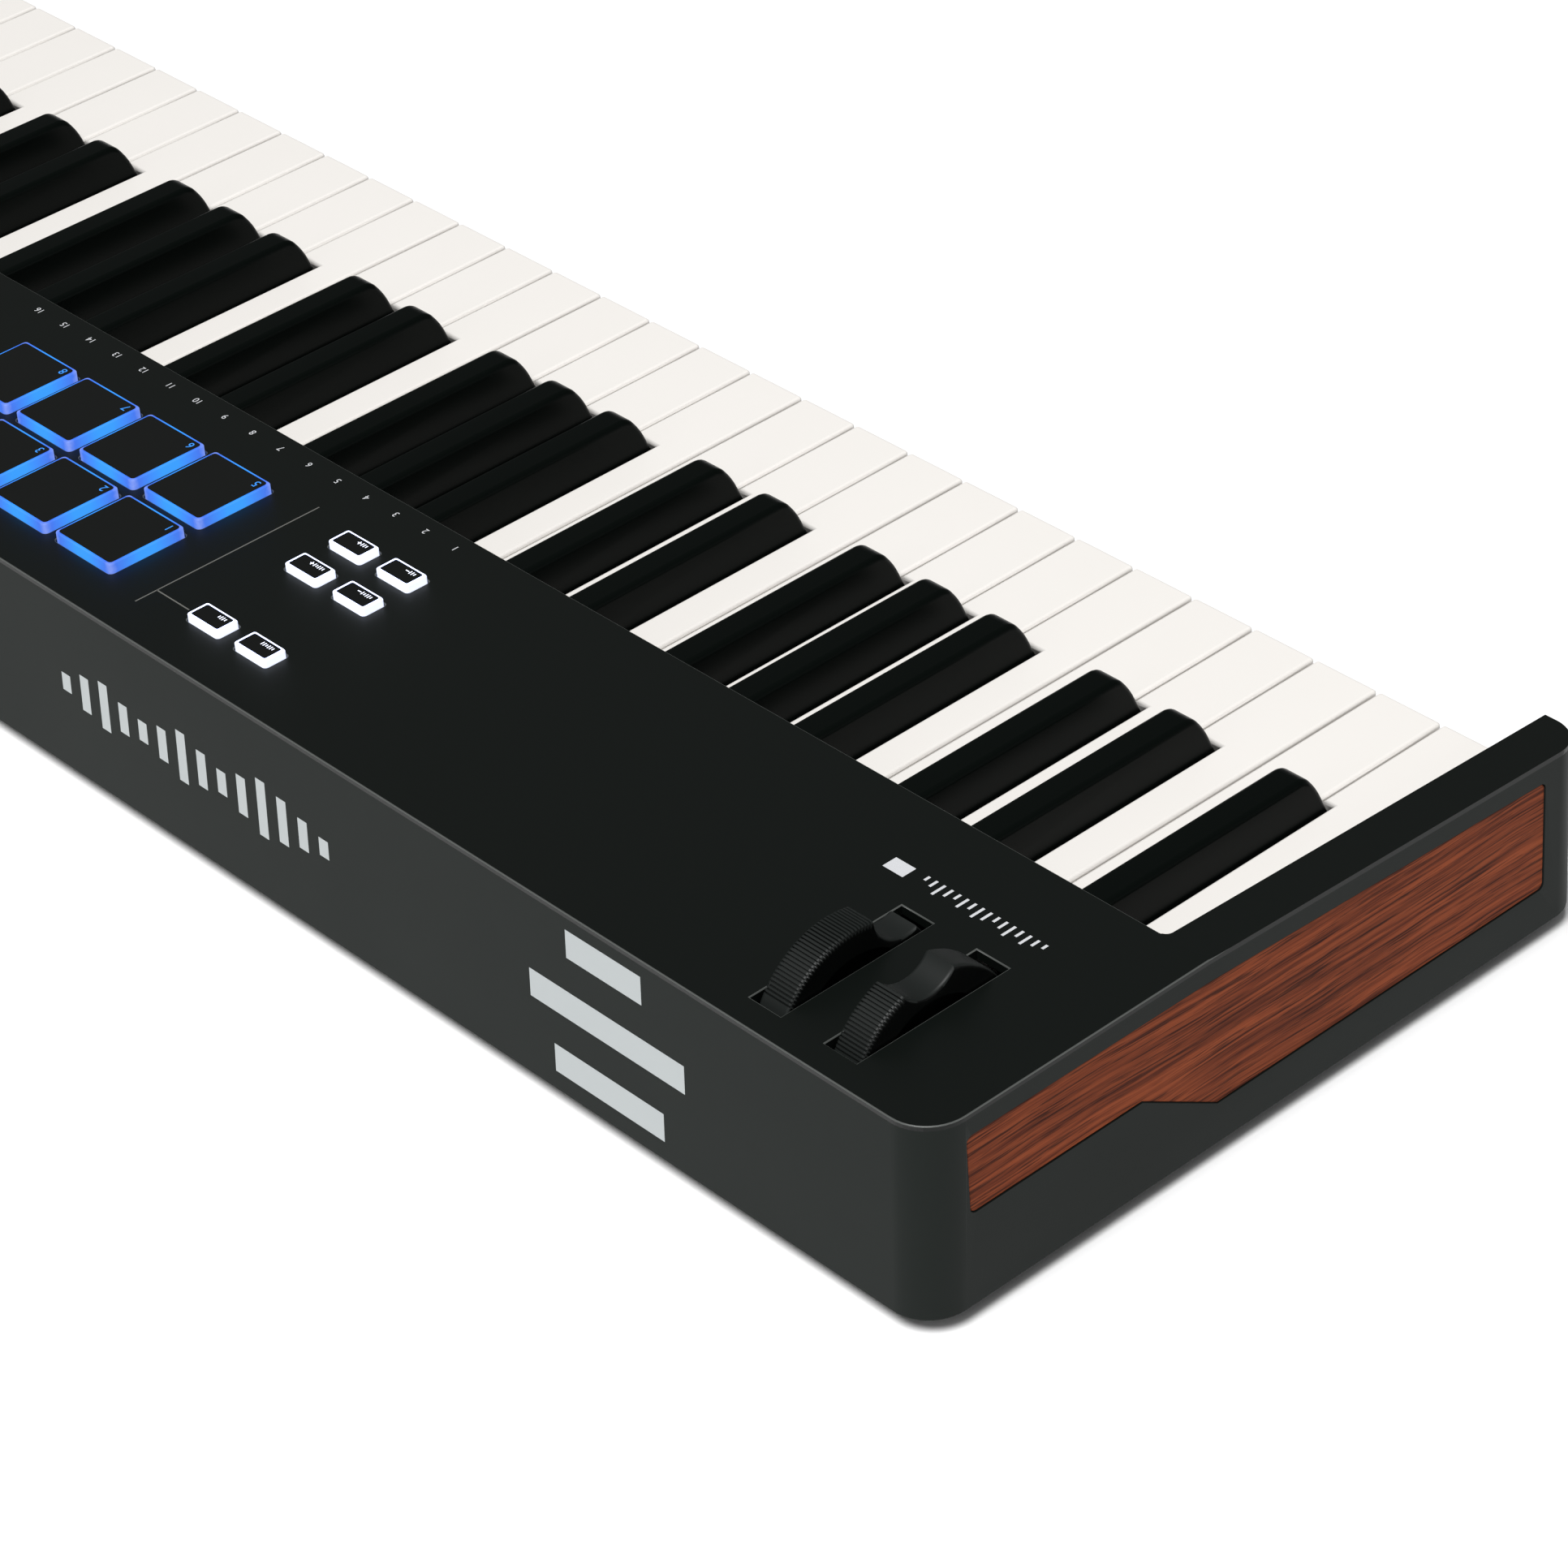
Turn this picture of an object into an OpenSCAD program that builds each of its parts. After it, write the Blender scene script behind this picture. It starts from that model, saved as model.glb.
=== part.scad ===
// 88-note keyboard controller. X runs along the keys (bass to the left, -X),
// the player sits on the -Y side and Z is up. The origin is on the surface it
// stands on, under the middle of the case.

/* [Keys] */
// Spacing of the white keys
key_pitch = 23.5; // [22:0.1:28.2]
// Visible length of a white key, from its front lip to the deck's edge
key_l = 133; // [115:1:150]
// Air between two neighbouring keys
key_gap = 1.0; // [0.8:0.1:1.4]
// Height of the white keys' tops above the underside of the case
key_h = 47; // [42:0.5:58]
// Width of a black key at the level of the white keys' tops
black_w = 13; // [11.5:0.1:14]
// Width of a black key's flat top
black_top_w = 10; // [8.5:0.1:11]
// Height of a black key above the white keys
black_rise = 11.6; // [9:0.1:12]
// Length of the white keys' wide front part
wide_l = 49.8; // [42:0.1:60]
// Drop of a white key's front edge when it is pressed
key_dip = 10; // [7:0.5:11]

/* [Case] */
// Width of each end cheek
cheek_w = 15; // [13:0.5:20]
// Gap between the end key's outer side and the cheek
end_gap = 1.5; // [1:0.1:3]
// How far the cheeks stand out in front of the white keys
front_reach = 13; // [11:0.5:20]
// Depth of the deck behind the keys, at the foot of the rear wall
deck_d = 102; // [100:1:130]
// Height of the deck's top above the white keys
deck_rise = 13.8; // [13.5:0.1:17]
// Height the cheeks lose between the deck and their front
cheek_drop = 6.1; // [3:0.1:8]
// How far the rear wall leans forward at the top
rear_lean = 3.5; // [0:0.5:6]
// Radius of the two rear corners, seen from above
rear_r = 13; // [8:0.5:20]
// Radius of the two front corners, seen from above
front_r = 11; // [6:0.5:12.5]
// Thickness of the lower case's walls
wall = 3; // [2.4:0.1:3.6]
// Thickness of the lower case's floor
floor_t = 2.5; // [2:0.1:4]
// Thickness of the deck
deck_t = 3; // [2.4:0.1:3.4]
// Height of the deck's rim that shows above the joint line
rim_t = 1.5; // [1:0.1:1.8]
// Height of the feet
foot_h = 5; // [3:0.5:10]

/* [Side panels] */
// Thickness of the wood side panels
wood_t = 2.2; // [1.6:0.1:2.4]
// Depth of the pocket that each wood panel lies in
pocket_d = 2.5; // [2:0.1:2.8]
// Distance from the top of the cheek down to the wood
wood_drop = 7.2; // [5:0.1:12]
// Height of the wood's lower edge above the underside, in its front part
wood_low = 13.4; // [8:0.1:18]
// Height of the wood's lower edge above the underside, in its rear part
wood_high = 29.5; // [22:0.1:34]

/* [Controls] */
// Side of a square pad
pad_w = 27.2; // [22:0.1:29]
// Spacing of the pads along the keyboard
pad_pitch_x = 32.3; // [31.5:0.1:36]
// Spacing of the two rows of pads
pad_pitch_y = 32; // [31.5:0.1:34]
// Height of the pads above the deck
pad_rise = 3.0; // [2:0.1:5]
// Travel of a pad
pad_travel = 0.6; // [0.3:0.1:1]
// Length of a small button
button_w = 14.4; // [11:0.1:17]
// Width of a small button
button_d = 7.7; // [6:0.1:10]
// Height of the small buttons above the deck
button_rise = 2.2; // [1.5:0.1:4]
// Spacing of neighbouring small buttons along the keyboard
button_pitch_x = 22; // [20:0.5:26]
// Spacing of neighbouring small buttons across the deck
button_pitch_y = 16; // [14.5:0.5:20]
// Travel of a small button
button_travel = 0.8; // [0.4:0.1:1]
// Radius of the pitch and modulation wheels
wheel_r = 28; // [24:0.5:30]
// Thickness of the two wheels
wheel_w = 10.5; // [8:0.1:13]
// Height of the wheels' top above the deck
wheel_rise = 11.7; // [8:0.1:14]
// Radius of the knobs' skirt
knob_r = 7.5; // [6:0.1:9]
// Height of the knobs above the deck
knob_rise = 15; // [10:0.5:20]
// Spacing of the knobs and of the faders below them
knob_pitch = 34; // [24:0.5:38]
// Travel of the faders
fader_travel = 34; // [24:1:36]
// Radius of the main encoder's knob
encoder_r = 11; // [8:0.5:14]
// Width of the display's window
window_w = 64; // [50:1:72]
// Height of the display's window, across the deck
window_d = 38; // [28:1:44]

/* [Fits] */
// Clearance all round a moving control in its hole in the deck
control_gap = 0.4; // [0.3:0.05:0.8]
// Clearance all round a part that lies in a pocket
seat_gap = 0.2; // [0.1:0.05:0.5]
// Radial clearance of keys and wheels on their axles
run_gap = 0.08; // [0.04:0.01:0.1]
// Radius of the keys' pivot rod
rod_r = 2; // [1.5:0.1:2.5]
// Radius of the wheels' axle
axle_r = 2.5; // [2:0.1:4]

/* [Sockets] */
// Radius of the pedal jacks' bore
jack_r = 3.2; // [3.18:0.01:3.3]
// Depth of the pedal jacks' bore
jack_depth = 26; // [22:1:30]
// Outer radius of the round five-pole socket
din_r = 7.6; // [7:0.1:8.5]

/* [Hidden] */

$fn = 64;
eps = 0.01;
far = 400;

// The keyboard runs from A to C over seven octaves and a bit.
white_count = 52;
octaves = 7;
keys_w = white_count * key_pitch;
x0 = -keys_w / 2;
well_w = keys_w + 2 * end_gap;
body_w = well_w + 2 * cheek_w;
body_d = front_reach + key_l + deck_d;

y_front = -body_d / 2;
y_rear = body_d / 2;
y_key = y_front + front_reach;
y_deck = y_key + key_l;

z_floor = foot_h + floor_t;
z_key = foot_h + key_h;
z_deck = z_key + deck_rise;
z_under = z_deck - deck_t;
z_cheek = z_deck - cheek_drop;

case_c = [0.10, 0.11, 0.11];
deck_c = [0.07, 0.08, 0.07];
white_c = [0.95, 0.94, 0.91];
black_c = [0.04, 0.05, 0.05];
wood_c = [0.42, 0.17, 0.09];
metal_c = [0.62, 0.63, 0.65];
board_c = [0.08, 0.32, 0.16];
blue_c = [0.15, 0.35, 0.95];

// Draws a side view (2-D X is the part's Y, 2-D Y is its Z) as a bar along X.
module along_x(w) {
  rotate([90, 0, 90]) linear_extrude(w, center = true) children();
}

// A rectangle about its centre with round corners.
module round_rect(w, d, r) {
  square([w - 2 * r, d], center = true);
  square([w, d - 2 * r], center = true);
  for (sx = [-1, 1], sy = [-1, 1])
    translate([sx * (w / 2 - r), sy * (d / 2 - r)]) circle(r);
}

// A block with round upright corners that stands on z, centred on the origin.
module round_block(w, d, z, h, r) {
  translate([0, 0, z]) linear_extrude(h) round_rect(w, d, r);
}

// ---------------------------------------------------------------- case

// Half of the case seen from above, shrunk by inset: its end at y = 0, with round
// corners of radius r, and its body running on by l.
module plan_end(inset, r, l) {
  hw = body_w / 2 - inset;
  ri = r - inset;
  translate([-hw, inset + ri]) square([2 * hw, l]);
  translate([-hw + ri, inset]) square([2 * (hw - ri), ri + eps]);
  for (sx = [-1, 1]) translate([sx * (hw - ri), inset + ri]) circle(ri);
}

// The case as an endless post, shrunk by inset all round: upright at its front and
// leaning forward at its rear.
lean_a = atan(rear_lean / (z_deck - foot_h));
module post_of_case(inset) {
  intersection() {
    translate([0, y_front, 0]) linear_extrude(far) plan_end(inset, front_r, body_d);
    translate([0, y_rear, foot_h]) rotate([lean_a, 0, 0]) translate([0, 0, -far / 2])
      linear_extrude(far) rotate(180) plan_end(inset, rear_r, body_d + 20);
  }
}

// The case's side view between two depths below its top face, with the rear wall
// moved forward by inset.
module side_band(from_top, to_top, inset) {
  y_top = y_rear - rear_lean - inset;
  polygon([[y_front - 1, z_cheek - from_top], [y_deck, z_deck - from_top],
    [y_top, z_deck - from_top], [y_top, z_deck - to_top],
    [y_deck, z_deck - to_top], [y_front - 1, z_cheek - to_top]]);
}

// The case's side view from height z up to from_top below the top face.
module side_view(z, from_top, inset) {
  lean_z = z_deck - foot_h;
  y_low = y_rear - inset - rear_lean * (z - foot_h) / lean_z;
  y_top = y_rear - inset - rear_lean * (lean_z - from_top) / lean_z;
  polygon([[y_front - 1, z], [y_low, z], [y_top, z_deck - from_top],
    [y_deck, z_deck - from_top], [y_front - 1, z_cheek - from_top]]);
}

// Screws: two rows through the floor into posts under the deck, and one in each
// cheek near the front.
liner_t = 2;
post_r = 3.4;
post_z = foot_h + 9;
screw_r = 1.5;
screw_head_r = 3;
screw_l = 16;
screw_y = y_rear - 12;
screw_x = [for (i = [-3:3]) i * (body_w - 60) / 6];
cheek_wall = 2.4;
cheek_post_x = well_w / 2 + cheek_wall + (cheek_w - cheek_wall - wall - liner_t) / 2;
cheek_post_y = y_front + 14;
posts = concat([for (x = screw_x) [x, screw_y]],
  [for (s = [-1, 1]) [s * cheek_post_x, cheek_post_y]]);

// The wood panel's outline seen from the side, grown by grow all round.
wood_y0 = y_key + 4;
wood_y1 = y_rear - rear_r - rear_lean;
jog_y0 = y_key + 131;
jog_y1 = y_key + 158;
wood_r = 2;
slope = cheek_drop / (y_deck - y_front);
wood_z0 = z_deck - wood_drop - slope * (y_deck - wood_y0);
wood_z1 = z_deck - wood_drop;

module wood_outline(grow) {
  zl = foot_h + wood_low - grow;
  zh = foot_h + wood_high - grow;
  a = wood_y0 - grow;
  b = wood_y1 + grow;
  r = wood_r;
  translate([a + r, zl + r]) circle(r);
  translate([a + r, wood_z0 + grow - r]) circle(r);
  translate([b - r, wood_z1 + grow - r]) circle(r);
  translate([b - r, zh + r]) circle(r);
  polygon([[a, zl + r], [a + r, zl], [jog_y0 + grow / 2, zl], [jog_y1 + grow / 2, zh],
    [b - r, zh], [b, zh + r], [b, wood_z1 + grow - r], [b - r, wood_z1 + grow],
    [y_deck, wood_z1 + grow], [a + r, wood_z0 + grow], [a, wood_z0 + grow - r]]);
}

// Sockets in the rear wall, in the bay between two of the screws.
main_x = (screw_x[4] + screw_x[5]) / 2;
jack_x = [main_x - 46, main_x - 20];
midi_x = main_x + 16;
usb_x = main_x + 46;
board_z = 20;
board_t = 1.6;
socket_z = board_z + board_t + 9;
collar_r = 5.6;
socket_h = 18;
usb_w = 9;
usb_h = 3.4;
usb_z = socket_z - 5;
usb_shell = 0.3;

function wall_y(z) = y_rear - rear_lean * (z - foot_h) / (z_deck - foot_h);
// The sockets' bodies stand off the leaning wall at their top.
body_y = wall_y(socket_z + socket_h / 2) - wall - seat_gap;

// The keybed's sheet lies one key stroke below the hooks' feet.
pivot_y = y_deck + 24;
pivot_z = z_key - 7;
white_side = 12;
hook_y = y_key + 19;
frame_t = 1.5;
felt_t = 1.6;
travel_gap = 0.3;
hook_h = 4.3;
hook_w = 6;
hook_t = 3;
hook_gap = 2;
hook_foot = 9;
stroke = key_dip * (pivot_y - hook_y) / (pivot_y - y_key);
frame_z = z_key - white_side - stroke - felt_t - frame_t - travel_gap;

rail_z = z_key - 25;
rail_d = front_reach - 2;
collar_post_r = 5;
main_post_r = 3;
frame_post_x = [for (i = [-4:4]) i * (keys_w - 80) / 8];
frame_post_y = [y_key + 42, y_deck + 8];
main_w = 156;
main_post = [for (x = [-66, 66], y = [-48, -26]) [x, y]];

module bottom_case() {
  color(case_c) difference() {
    union() {
      difference() {
        intersection() {
          post_of_case(0);
          along_x(4 * far) side_view(foot_h, rim_t, -rear_r);
        }
        intersection() {
          post_of_case(wall);
          along_x(4 * far) side_view(z_floor, -10, -rear_r);
        }
        translate([-well_w / 2, y_front - 1, rail_z])
          cube([well_w, wall + 2, far]);
      }
      // shelf behind the front rail, just in front of the keys
      translate([-well_w / 2, y_front + wall - eps, rail_z - 2])
        cube([well_w, rail_d - wall, 2]);
      // thicker side walls behind the wood panels
      for (s = [-1, 1])
        translate([s * (body_w / 2 - wall - liner_t / 2), 0, 0]) intersection() {
          along_x(liner_t + 2 * eps) side_view(z_floor - eps, deck_t + 0.5, rear_r);
          translate([-liner_t, y_front + front_r, 0]) cube([2 * liner_t, far, far]);
        }
      // posts that carry the keybed
      for (x = frame_post_x, y = frame_post_y)
        translate([x, y, z_floor - eps]) cylinder(h = frame_z - z_floor + eps, r = collar_post_r);
      // collars round the case screws
      for (p = posts)
        translate([p[0], p[1], z_floor - eps]) cylinder(h = post_z - z_floor, r = collar_post_r);
      // posts that carry the main board
      for (p = main_post)
        translate([main_x + p[0], y_rear + p[1], z_floor - eps])
          cylinder(h = board_z - z_floor + eps, r = main_post_r);
    }
    for (s = [-1, 1])
      translate([s * (body_w / 2), 0, 0]) along_x(2 * pocket_d) wood_outline(seat_gap);
    for (p = posts) translate([p[0], p[1], foot_h - 1]) {
      cylinder(h = far, r = screw_r + 0.2);
      cylinder(h = 4, r = screw_head_r + 0.3);
    }
    for (x = jack_x) socket_hole(x, collar_r + seat_gap);
    socket_hole(midi_x, din_r + seat_gap);
    translate([usb_x, y_rear, usb_z])
      cube([usb_w + 3 * seat_gap, 20, usb_h + 3 * seat_gap], center = true);
  }
}

module socket_hole(x, r) {
  translate([x, y_rear + 5, socket_z]) rotate([90, 0, 0]) cylinder(h = 15, r = r);
}

edge_w = 6;
well_r = 2.5;
slot_w = wheel_w + 1.3;
slot_l = 53;
wheel_y = y_key + 196.1;
wheel_z = z_deck + wheel_rise - wheel_r;
pitch_x = x0 + 24.25;
mod_x = x0 + 52.15;

// The opening over the keys, with small round corners at the deck.
module well_plan() {
  l = y_deck - y_front + 1;
  translate([-well_w / 2, y_front - 1]) square([well_w, l - well_r]);
  translate([well_r - well_w / 2, y_front - 1]) square([well_w - 2 * well_r, l]);
  for (s = [-1, 1])
    translate([s * (well_w / 2 - well_r), y_deck - well_r]) circle(well_r);
}

module top_case() {
  color(deck_c) difference() {
    union() {
      intersection() {
        post_of_case(0);
        along_x(4 * far) side_band(0, rim_t, -rear_r);
      }
      intersection() {
        post_of_case(wall + seat_gap);
        along_x(4 * far) side_band(rim_t - eps, deck_t, -rear_r);
      }
      // walls that close the cheeks towards the keys
      for (s = [-1, 1])
        translate([s * (well_w / 2 + cheek_wall / 2), 0, 0]) intersection() {
          along_x(cheek_wall) side_view(rail_z + 3, 1, deck_d - 20);
          translate([-5, y_front + wall + seat_gap, 0]) cube([10, far, far]);
        }
      for (p = posts)
        translate([p[0], p[1], post_z]) cylinder(
          h = (p[1] < 0 ? z_cheek : z_deck) - post_z - 1, r = post_r);
    }
    linear_extrude(far) well_plan();
    // the deck is thin along its front edge, above the keys
    translate([-well_w / 2, y_deck - well_r, 0])
      cube([well_w, edge_w + well_r, z_deck - rim_t]);
    for (p = posts)
      translate([p[0], p[1], post_z - 1]) cylinder(h = screw_l, r = screw_r);
    for (x = [pitch_x, mod_x])
      translate([x, wheel_y, z_deck]) cube([slot_w, slot_l, 20], center = true);
    for (i = [1:8]) translate([pad_x(i), pad_y(i), 0])
      round_block(pad_w + 2 * control_gap, pad_w + 2 * control_gap, 0, far, pad_r);
    for (p = concat(named_buttons, command_places)) translate([p[0], p[1], 0])
      round_block(button_w + 2 * control_gap, button_d + 2 * control_gap, 0, far, 1.2);
    for (i = [1:9]) {
      translate([knob_x(i), knob_y, 0]) cylinder(h = far, r = shaft_r + control_gap);
      translate([knob_x(i), fader_y + fader_travel / 2, z_deck])
        cube([stem_w + 2 * control_gap, fader_travel + stem_l + 4, 20], center = true);
    }
    translate([encoder_x, encoder_y, 0]) cylinder(h = far, r = shaft_r + control_gap);
    translate([window_x, encoder_y, 0]) {
      round_block(window_w - 6, window_d - 6, 0, far, 1);
      round_block(window_w + 2 * seat_gap, window_d + 2 * seat_gap,
        z_deck - window_t, far, 2);
    }
  }
}

module wood_panel(s) {
  x_in = body_w / 2 - pocket_d;
  color(wood_c) translate([s * (x_in + wood_t / 2), 0, 0]) along_x(wood_t) wood_outline(0);
}

module left_wood_panel() { wood_panel(-1); }
module right_wood_panel() { wood_panel(1); }

// Rubber feet, pressed on the underside.
foot_r = 9;
foot_x = [-1, 0, 1] * (body_w / 2 - 62);
foot_y = [y_front + 30, y_rear - 38];

module feet() {
  color([0.06, 0.06, 0.06]) for (x = foot_x, y = foot_y)
    translate([x, y, 0]) {
      cylinder(h = foot_h, r = foot_r);
    }
}

module case_screws() {
  color(metal_c) for (p = posts) translate([p[0], p[1], foot_h + 0.6]) difference() {
    union() {
      cylinder(h = 2.4, r = screw_head_r);
      cylinder(h = screw_l, r = screw_r);
    }
    translate([0, 0, -1]) cylinder(h = 2.2, r = 1.2, $fn = 6);
  }
}

// -------------------------------------------------------------- keybed

tail_y = pivot_y + 4.5;
black_side = 10;
flange_y = y_key + 31;
saddle_t = 2;
narrow = 1.3;

end_shift = end_gap - saddle_t / 2 - 0.1;

module keybed_frame() {
  w = keys_w + 2 * end_shift;
  color(metal_c) difference() {
    union() {
      translate([-w / 2, hook_y, frame_z]) cube([w, tail_y + 3.5 - hook_y, frame_t]);
      translate([-w / 2, flange_y, z_floor + 2])
        cube([w, frame_t, frame_z - z_floor - 2 + eps]);
      translate([-w / 2, tail_y + 2, frame_z]) cube([w, frame_t, 12]);
      for (i = saddle_places)
        translate([saddle_x(i) - saddle_t / 2, pivot_y - 5, frame_z])
          cube([saddle_t, tail_y + 3.5 - pivot_y + 5, pivot_z + 5 - frame_z]);
    }
    translate([0, pivot_y, pivot_z]) rotate([0, 90, 0])
      cylinder(h = 4 * far, r = rod_r, center = true);
  }
}

// The saddles stand between B and C, where no black key passes, and at both ends.
saddle_places = concat([0], [for (o = [0:octaves]) 2 + 7 * o], [white_count]);
function saddle_x(i) = x0 + i * key_pitch
  + (i == 0 ? -end_shift : i == white_count ? end_shift : 0);

module pivot_rod() {
  color(metal_c) translate([0, pivot_y, pivot_z]) rotate([0, 90, 0])
    cylinder(h = keys_w + 2 * end_shift, r = rod_r, center = true);
}

// White keys are counted from the left end, A = 0. Black keys take the number of
// the white key on their left.
shift_cd = 2.35;
shift_fa = 3.2;
function white_x(i) = x0 + i * key_pitch;
function black_x(i, shift) = white_x(i + 1) + shift;
a_keys = [for (o = [0:octaves]) 7 * o];
b_keys = [for (o = [0:octaves]) 7 * o + 1];
c_keys = [for (o = [0:octaves]) 7 * o + 2];
d_keys = [for (o = [0:octaves - 1]) 7 * o + 3];
e_keys = [for (o = [0:octaves - 1]) 7 * o + 4];
f_keys = [for (o = [0:octaves - 1]) 7 * o + 5];
g_keys = [for (o = [0:octaves - 1]) 7 * o + 6];

// How much of a white key a black neighbour takes, with its gap, measured from the
// line between two white keys. toward is the black key's shift towards this key.
function notch(toward) = black_w / 2 + key_gap + toward - key_gap / 2;

lip_h = 4;
lip_d = 2.5;
skirt_h = 19;
shell_t = 1.8;
top_t = 2.5;

module white_side_view() {
  polygon([[y_key, z_key], [y_key, z_key - lip_h], [y_key + lip_d, z_key - lip_h],
    [y_key + lip_d, z_key - skirt_h], [y_key + lip_d + 3, z_key - skirt_h],
    [y_key + 16, z_key - white_side], [tail_y, z_key - white_side], [tail_y, z_key]]);
}

// left and right are the widths that black neighbours take.
module white_key(i, left, right) {
  w = key_pitch - key_gap;
  y_wide = y_key + wide_l - 1.3;
  hollow_y = y_key + lip_d + shell_t;
  color(white_c) translate([white_x(i) + key_gap / 2, 0, 0]) difference() {
    union() {
      difference() {
        translate([w / 2, 0, 0]) along_x(w) white_side_view();
        translate([shell_t, hollow_y, 0])
          cube([w - 2 * shell_t, y_wide - shell_t - hollow_y, z_key - top_t]);
        translate([left + shell_t, y_wide - shell_t - eps, 0])
          cube([w - left - right - 2 * shell_t, pivot_y - 6 - y_wide, z_key - top_t]);
      }
      // hook that holds the key down at the front of the keybed
      translate([(w - hook_w) / 2, hook_y - hook_gap - hook_t, frame_z - hook_h])
        cube([hook_w, hook_t, z_key - top_t - frame_z + hook_h + eps]);
      translate([(w - hook_w) / 2, hook_y - hook_gap - hook_t, frame_z - hook_h])
        cube([hook_w, hook_foot, hook_h - felt_t - travel_gap]);
    }
    if (left > 0) translate([-1, y_wide, 0]) cube([left + 1, far, far]);
    if (right > 0) translate([w - right, y_wide, 0]) cube([right + 1, far, far]);
    for (x = [left - 1, w - right - narrow])
      translate([x, pivot_y - 7, 0]) cube([narrow + 1, far, far]);
    translate([-1, pivot_y, pivot_z]) rotate([0, 90, 0])
      cylinder(h = w + 2, r = rod_r + run_gap);
  }
}

nose_a = 62.5;
nose_r = 4.5;
nose_h = black_rise - nose_r;
nose_l = (nose_r + nose_h * cos(nose_a)) / sin(nose_a);
black_y = y_key + wide_l;
step_y = y_deck + edge_w - 1;
black_low = 3;

// Side view of a black key: a sloping nose that rounds into the flat top, and a low
// part under the deck.
module black_side_view() {
  translate([black_y, z_key - black_side]) square([tail_y - black_y, black_side]);
  translate([step_y - 1, z_key - eps]) square([tail_y - step_y + 1, black_low]);
  translate([black_y, z_key]) {
    polygon([[0, -eps], [0, 0],
      [nose_l - nose_r * sin(nose_a), nose_h + nose_r * cos(nose_a)],
      [nose_l, black_rise], [step_y - black_y, black_rise], [step_y - black_y, -eps]]);
    translate([nose_l, nose_h]) circle(nose_r);
  }
}

// Front view of a black key: sides that lean in above the white keys.
module black_front_view() {
  a = black_w / 2;
  b = black_top_w / 2;
  polygon([[-a, z_key - black_side - 1], [-a, z_key], [-b, z_key + black_rise],
    [b, z_key + black_rise], [a, z_key], [a, z_key - black_side - 1]]);
}

module black_key(i, shift) {
  a = black_w / 2 - shell_t;
  color(black_c) translate([black_x(i, shift), 0, 0]) difference() {
    intersection() {
      along_x(black_w + 2) black_side_view();
      rotate([90, 0, 0]) linear_extrude(4 * far, center = true) black_front_view();
    }
    translate([-a, black_y + shell_t, 0])
      cube([2 * a, pivot_y - 6 - black_y, z_key + black_low - shell_t]);
    for (s = [-1, 1])
      translate([s * black_w / 2 - narrow, pivot_y - 7, 0]) cube([2 * narrow, far, far]);
    translate([0, pivot_y, pivot_z]) rotate([0, 90, 0])
      cylinder(h = black_w + 2, r = rod_r + run_gap, center = true);
  }
}

n_cd = notch(shift_cd);
n_dc = notch(-shift_cd);
n_fa = notch(shift_fa);
n_af = notch(-shift_fa);
n_g = notch(0);

module keys_c() {
  for (i = c_keys) white_key(i, 0, i == white_count - 1 ? 0 : n_cd);
}
module keys_d() { for (i = d_keys) white_key(i, n_dc, n_dc); }
module keys_e() { for (i = e_keys) white_key(i, n_cd, 0); }
module keys_f() { for (i = f_keys) white_key(i, 0, n_fa); }
module keys_g() { for (i = g_keys) white_key(i, n_af, n_g); }
module keys_a() { for (i = a_keys) white_key(i, i == 0 ? 0 : n_g, n_af); }
module keys_b() { for (i = b_keys) white_key(i, n_fa, 0); }
module keys_c_sharp() {
  for (i = c_keys) if (i < white_count - 1) black_key(i, -shift_cd);
}
module keys_d_sharp() { for (i = d_keys) black_key(i, shift_cd); }
module keys_f_sharp() { for (i = f_keys) black_key(i, -shift_fa); }
module keys_g_sharp() { for (i = g_keys) black_key(i, 0); }
module keys_a_sharp() { for (i = a_keys) black_key(i, shift_fa); }

// Middle of each key's tail, which the spring, dome and contact below it share.
function mid(i, left, right) = white_x(i) + (key_pitch + left - right) / 2;
tails = concat(
  [for (i = c_keys) mid(i, 0, i == white_count - 1 ? 0 : n_cd)],
  [for (i = d_keys) mid(i, n_dc, n_dc)], [for (i = e_keys) mid(i, n_cd, 0)],
  [for (i = f_keys) mid(i, 0, n_fa)], [for (i = g_keys) mid(i, n_af, n_g)],
  [for (i = a_keys) mid(i, i == 0 ? 0 : n_g, n_af)], [for (i = b_keys) mid(i, n_fa, 0)],
  [for (i = c_keys) if (i < white_count - 1) black_x(i, -shift_cd)],
  [for (i = d_keys) black_x(i, shift_cd)], [for (i = f_keys) black_x(i, -shift_fa)],
  [for (i = g_keys) black_x(i, 0)], [for (i = a_keys) black_x(i, shift_fa)]);

// A comb of flat steel springs, one finger under each key.
spring_t = 0.5;
module key_springs() {
  w = keys_w - 6;
  z = frame_z + frame_t;
  color([0.75, 0.75, 0.72]) {
    translate([-w / 2, pivot_y - 16, z]) cube([w, 8, spring_t]);
    for (x = tails) translate([x - 2, pivot_y - 16, z]) {
      cube([4, spring_t, 6]);
      translate([0, -16, 6 - spring_t]) cube([4, 16 + spring_t, spring_t]);
    }
  }
}

contact_y = y_deck - 52;
contact_d = 40;
dome_h = 3.2;
module contact_board() {
  color(board_c) translate([-keys_w / 2 + 4, contact_y, frame_z + frame_t])
    cube([keys_w - 8, contact_d, board_t]);
}
module rubber_domes() {
  color([0.3, 0.3, 0.32]) for (x = tails)
    translate([x, contact_y + 20, frame_z + frame_t + board_t]) difference() {
      cylinder(h = dome_h, r = 3.6);
      translate([0, 0, -1]) cylinder(h = dome_h, r = 2.6);
    }
}

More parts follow.
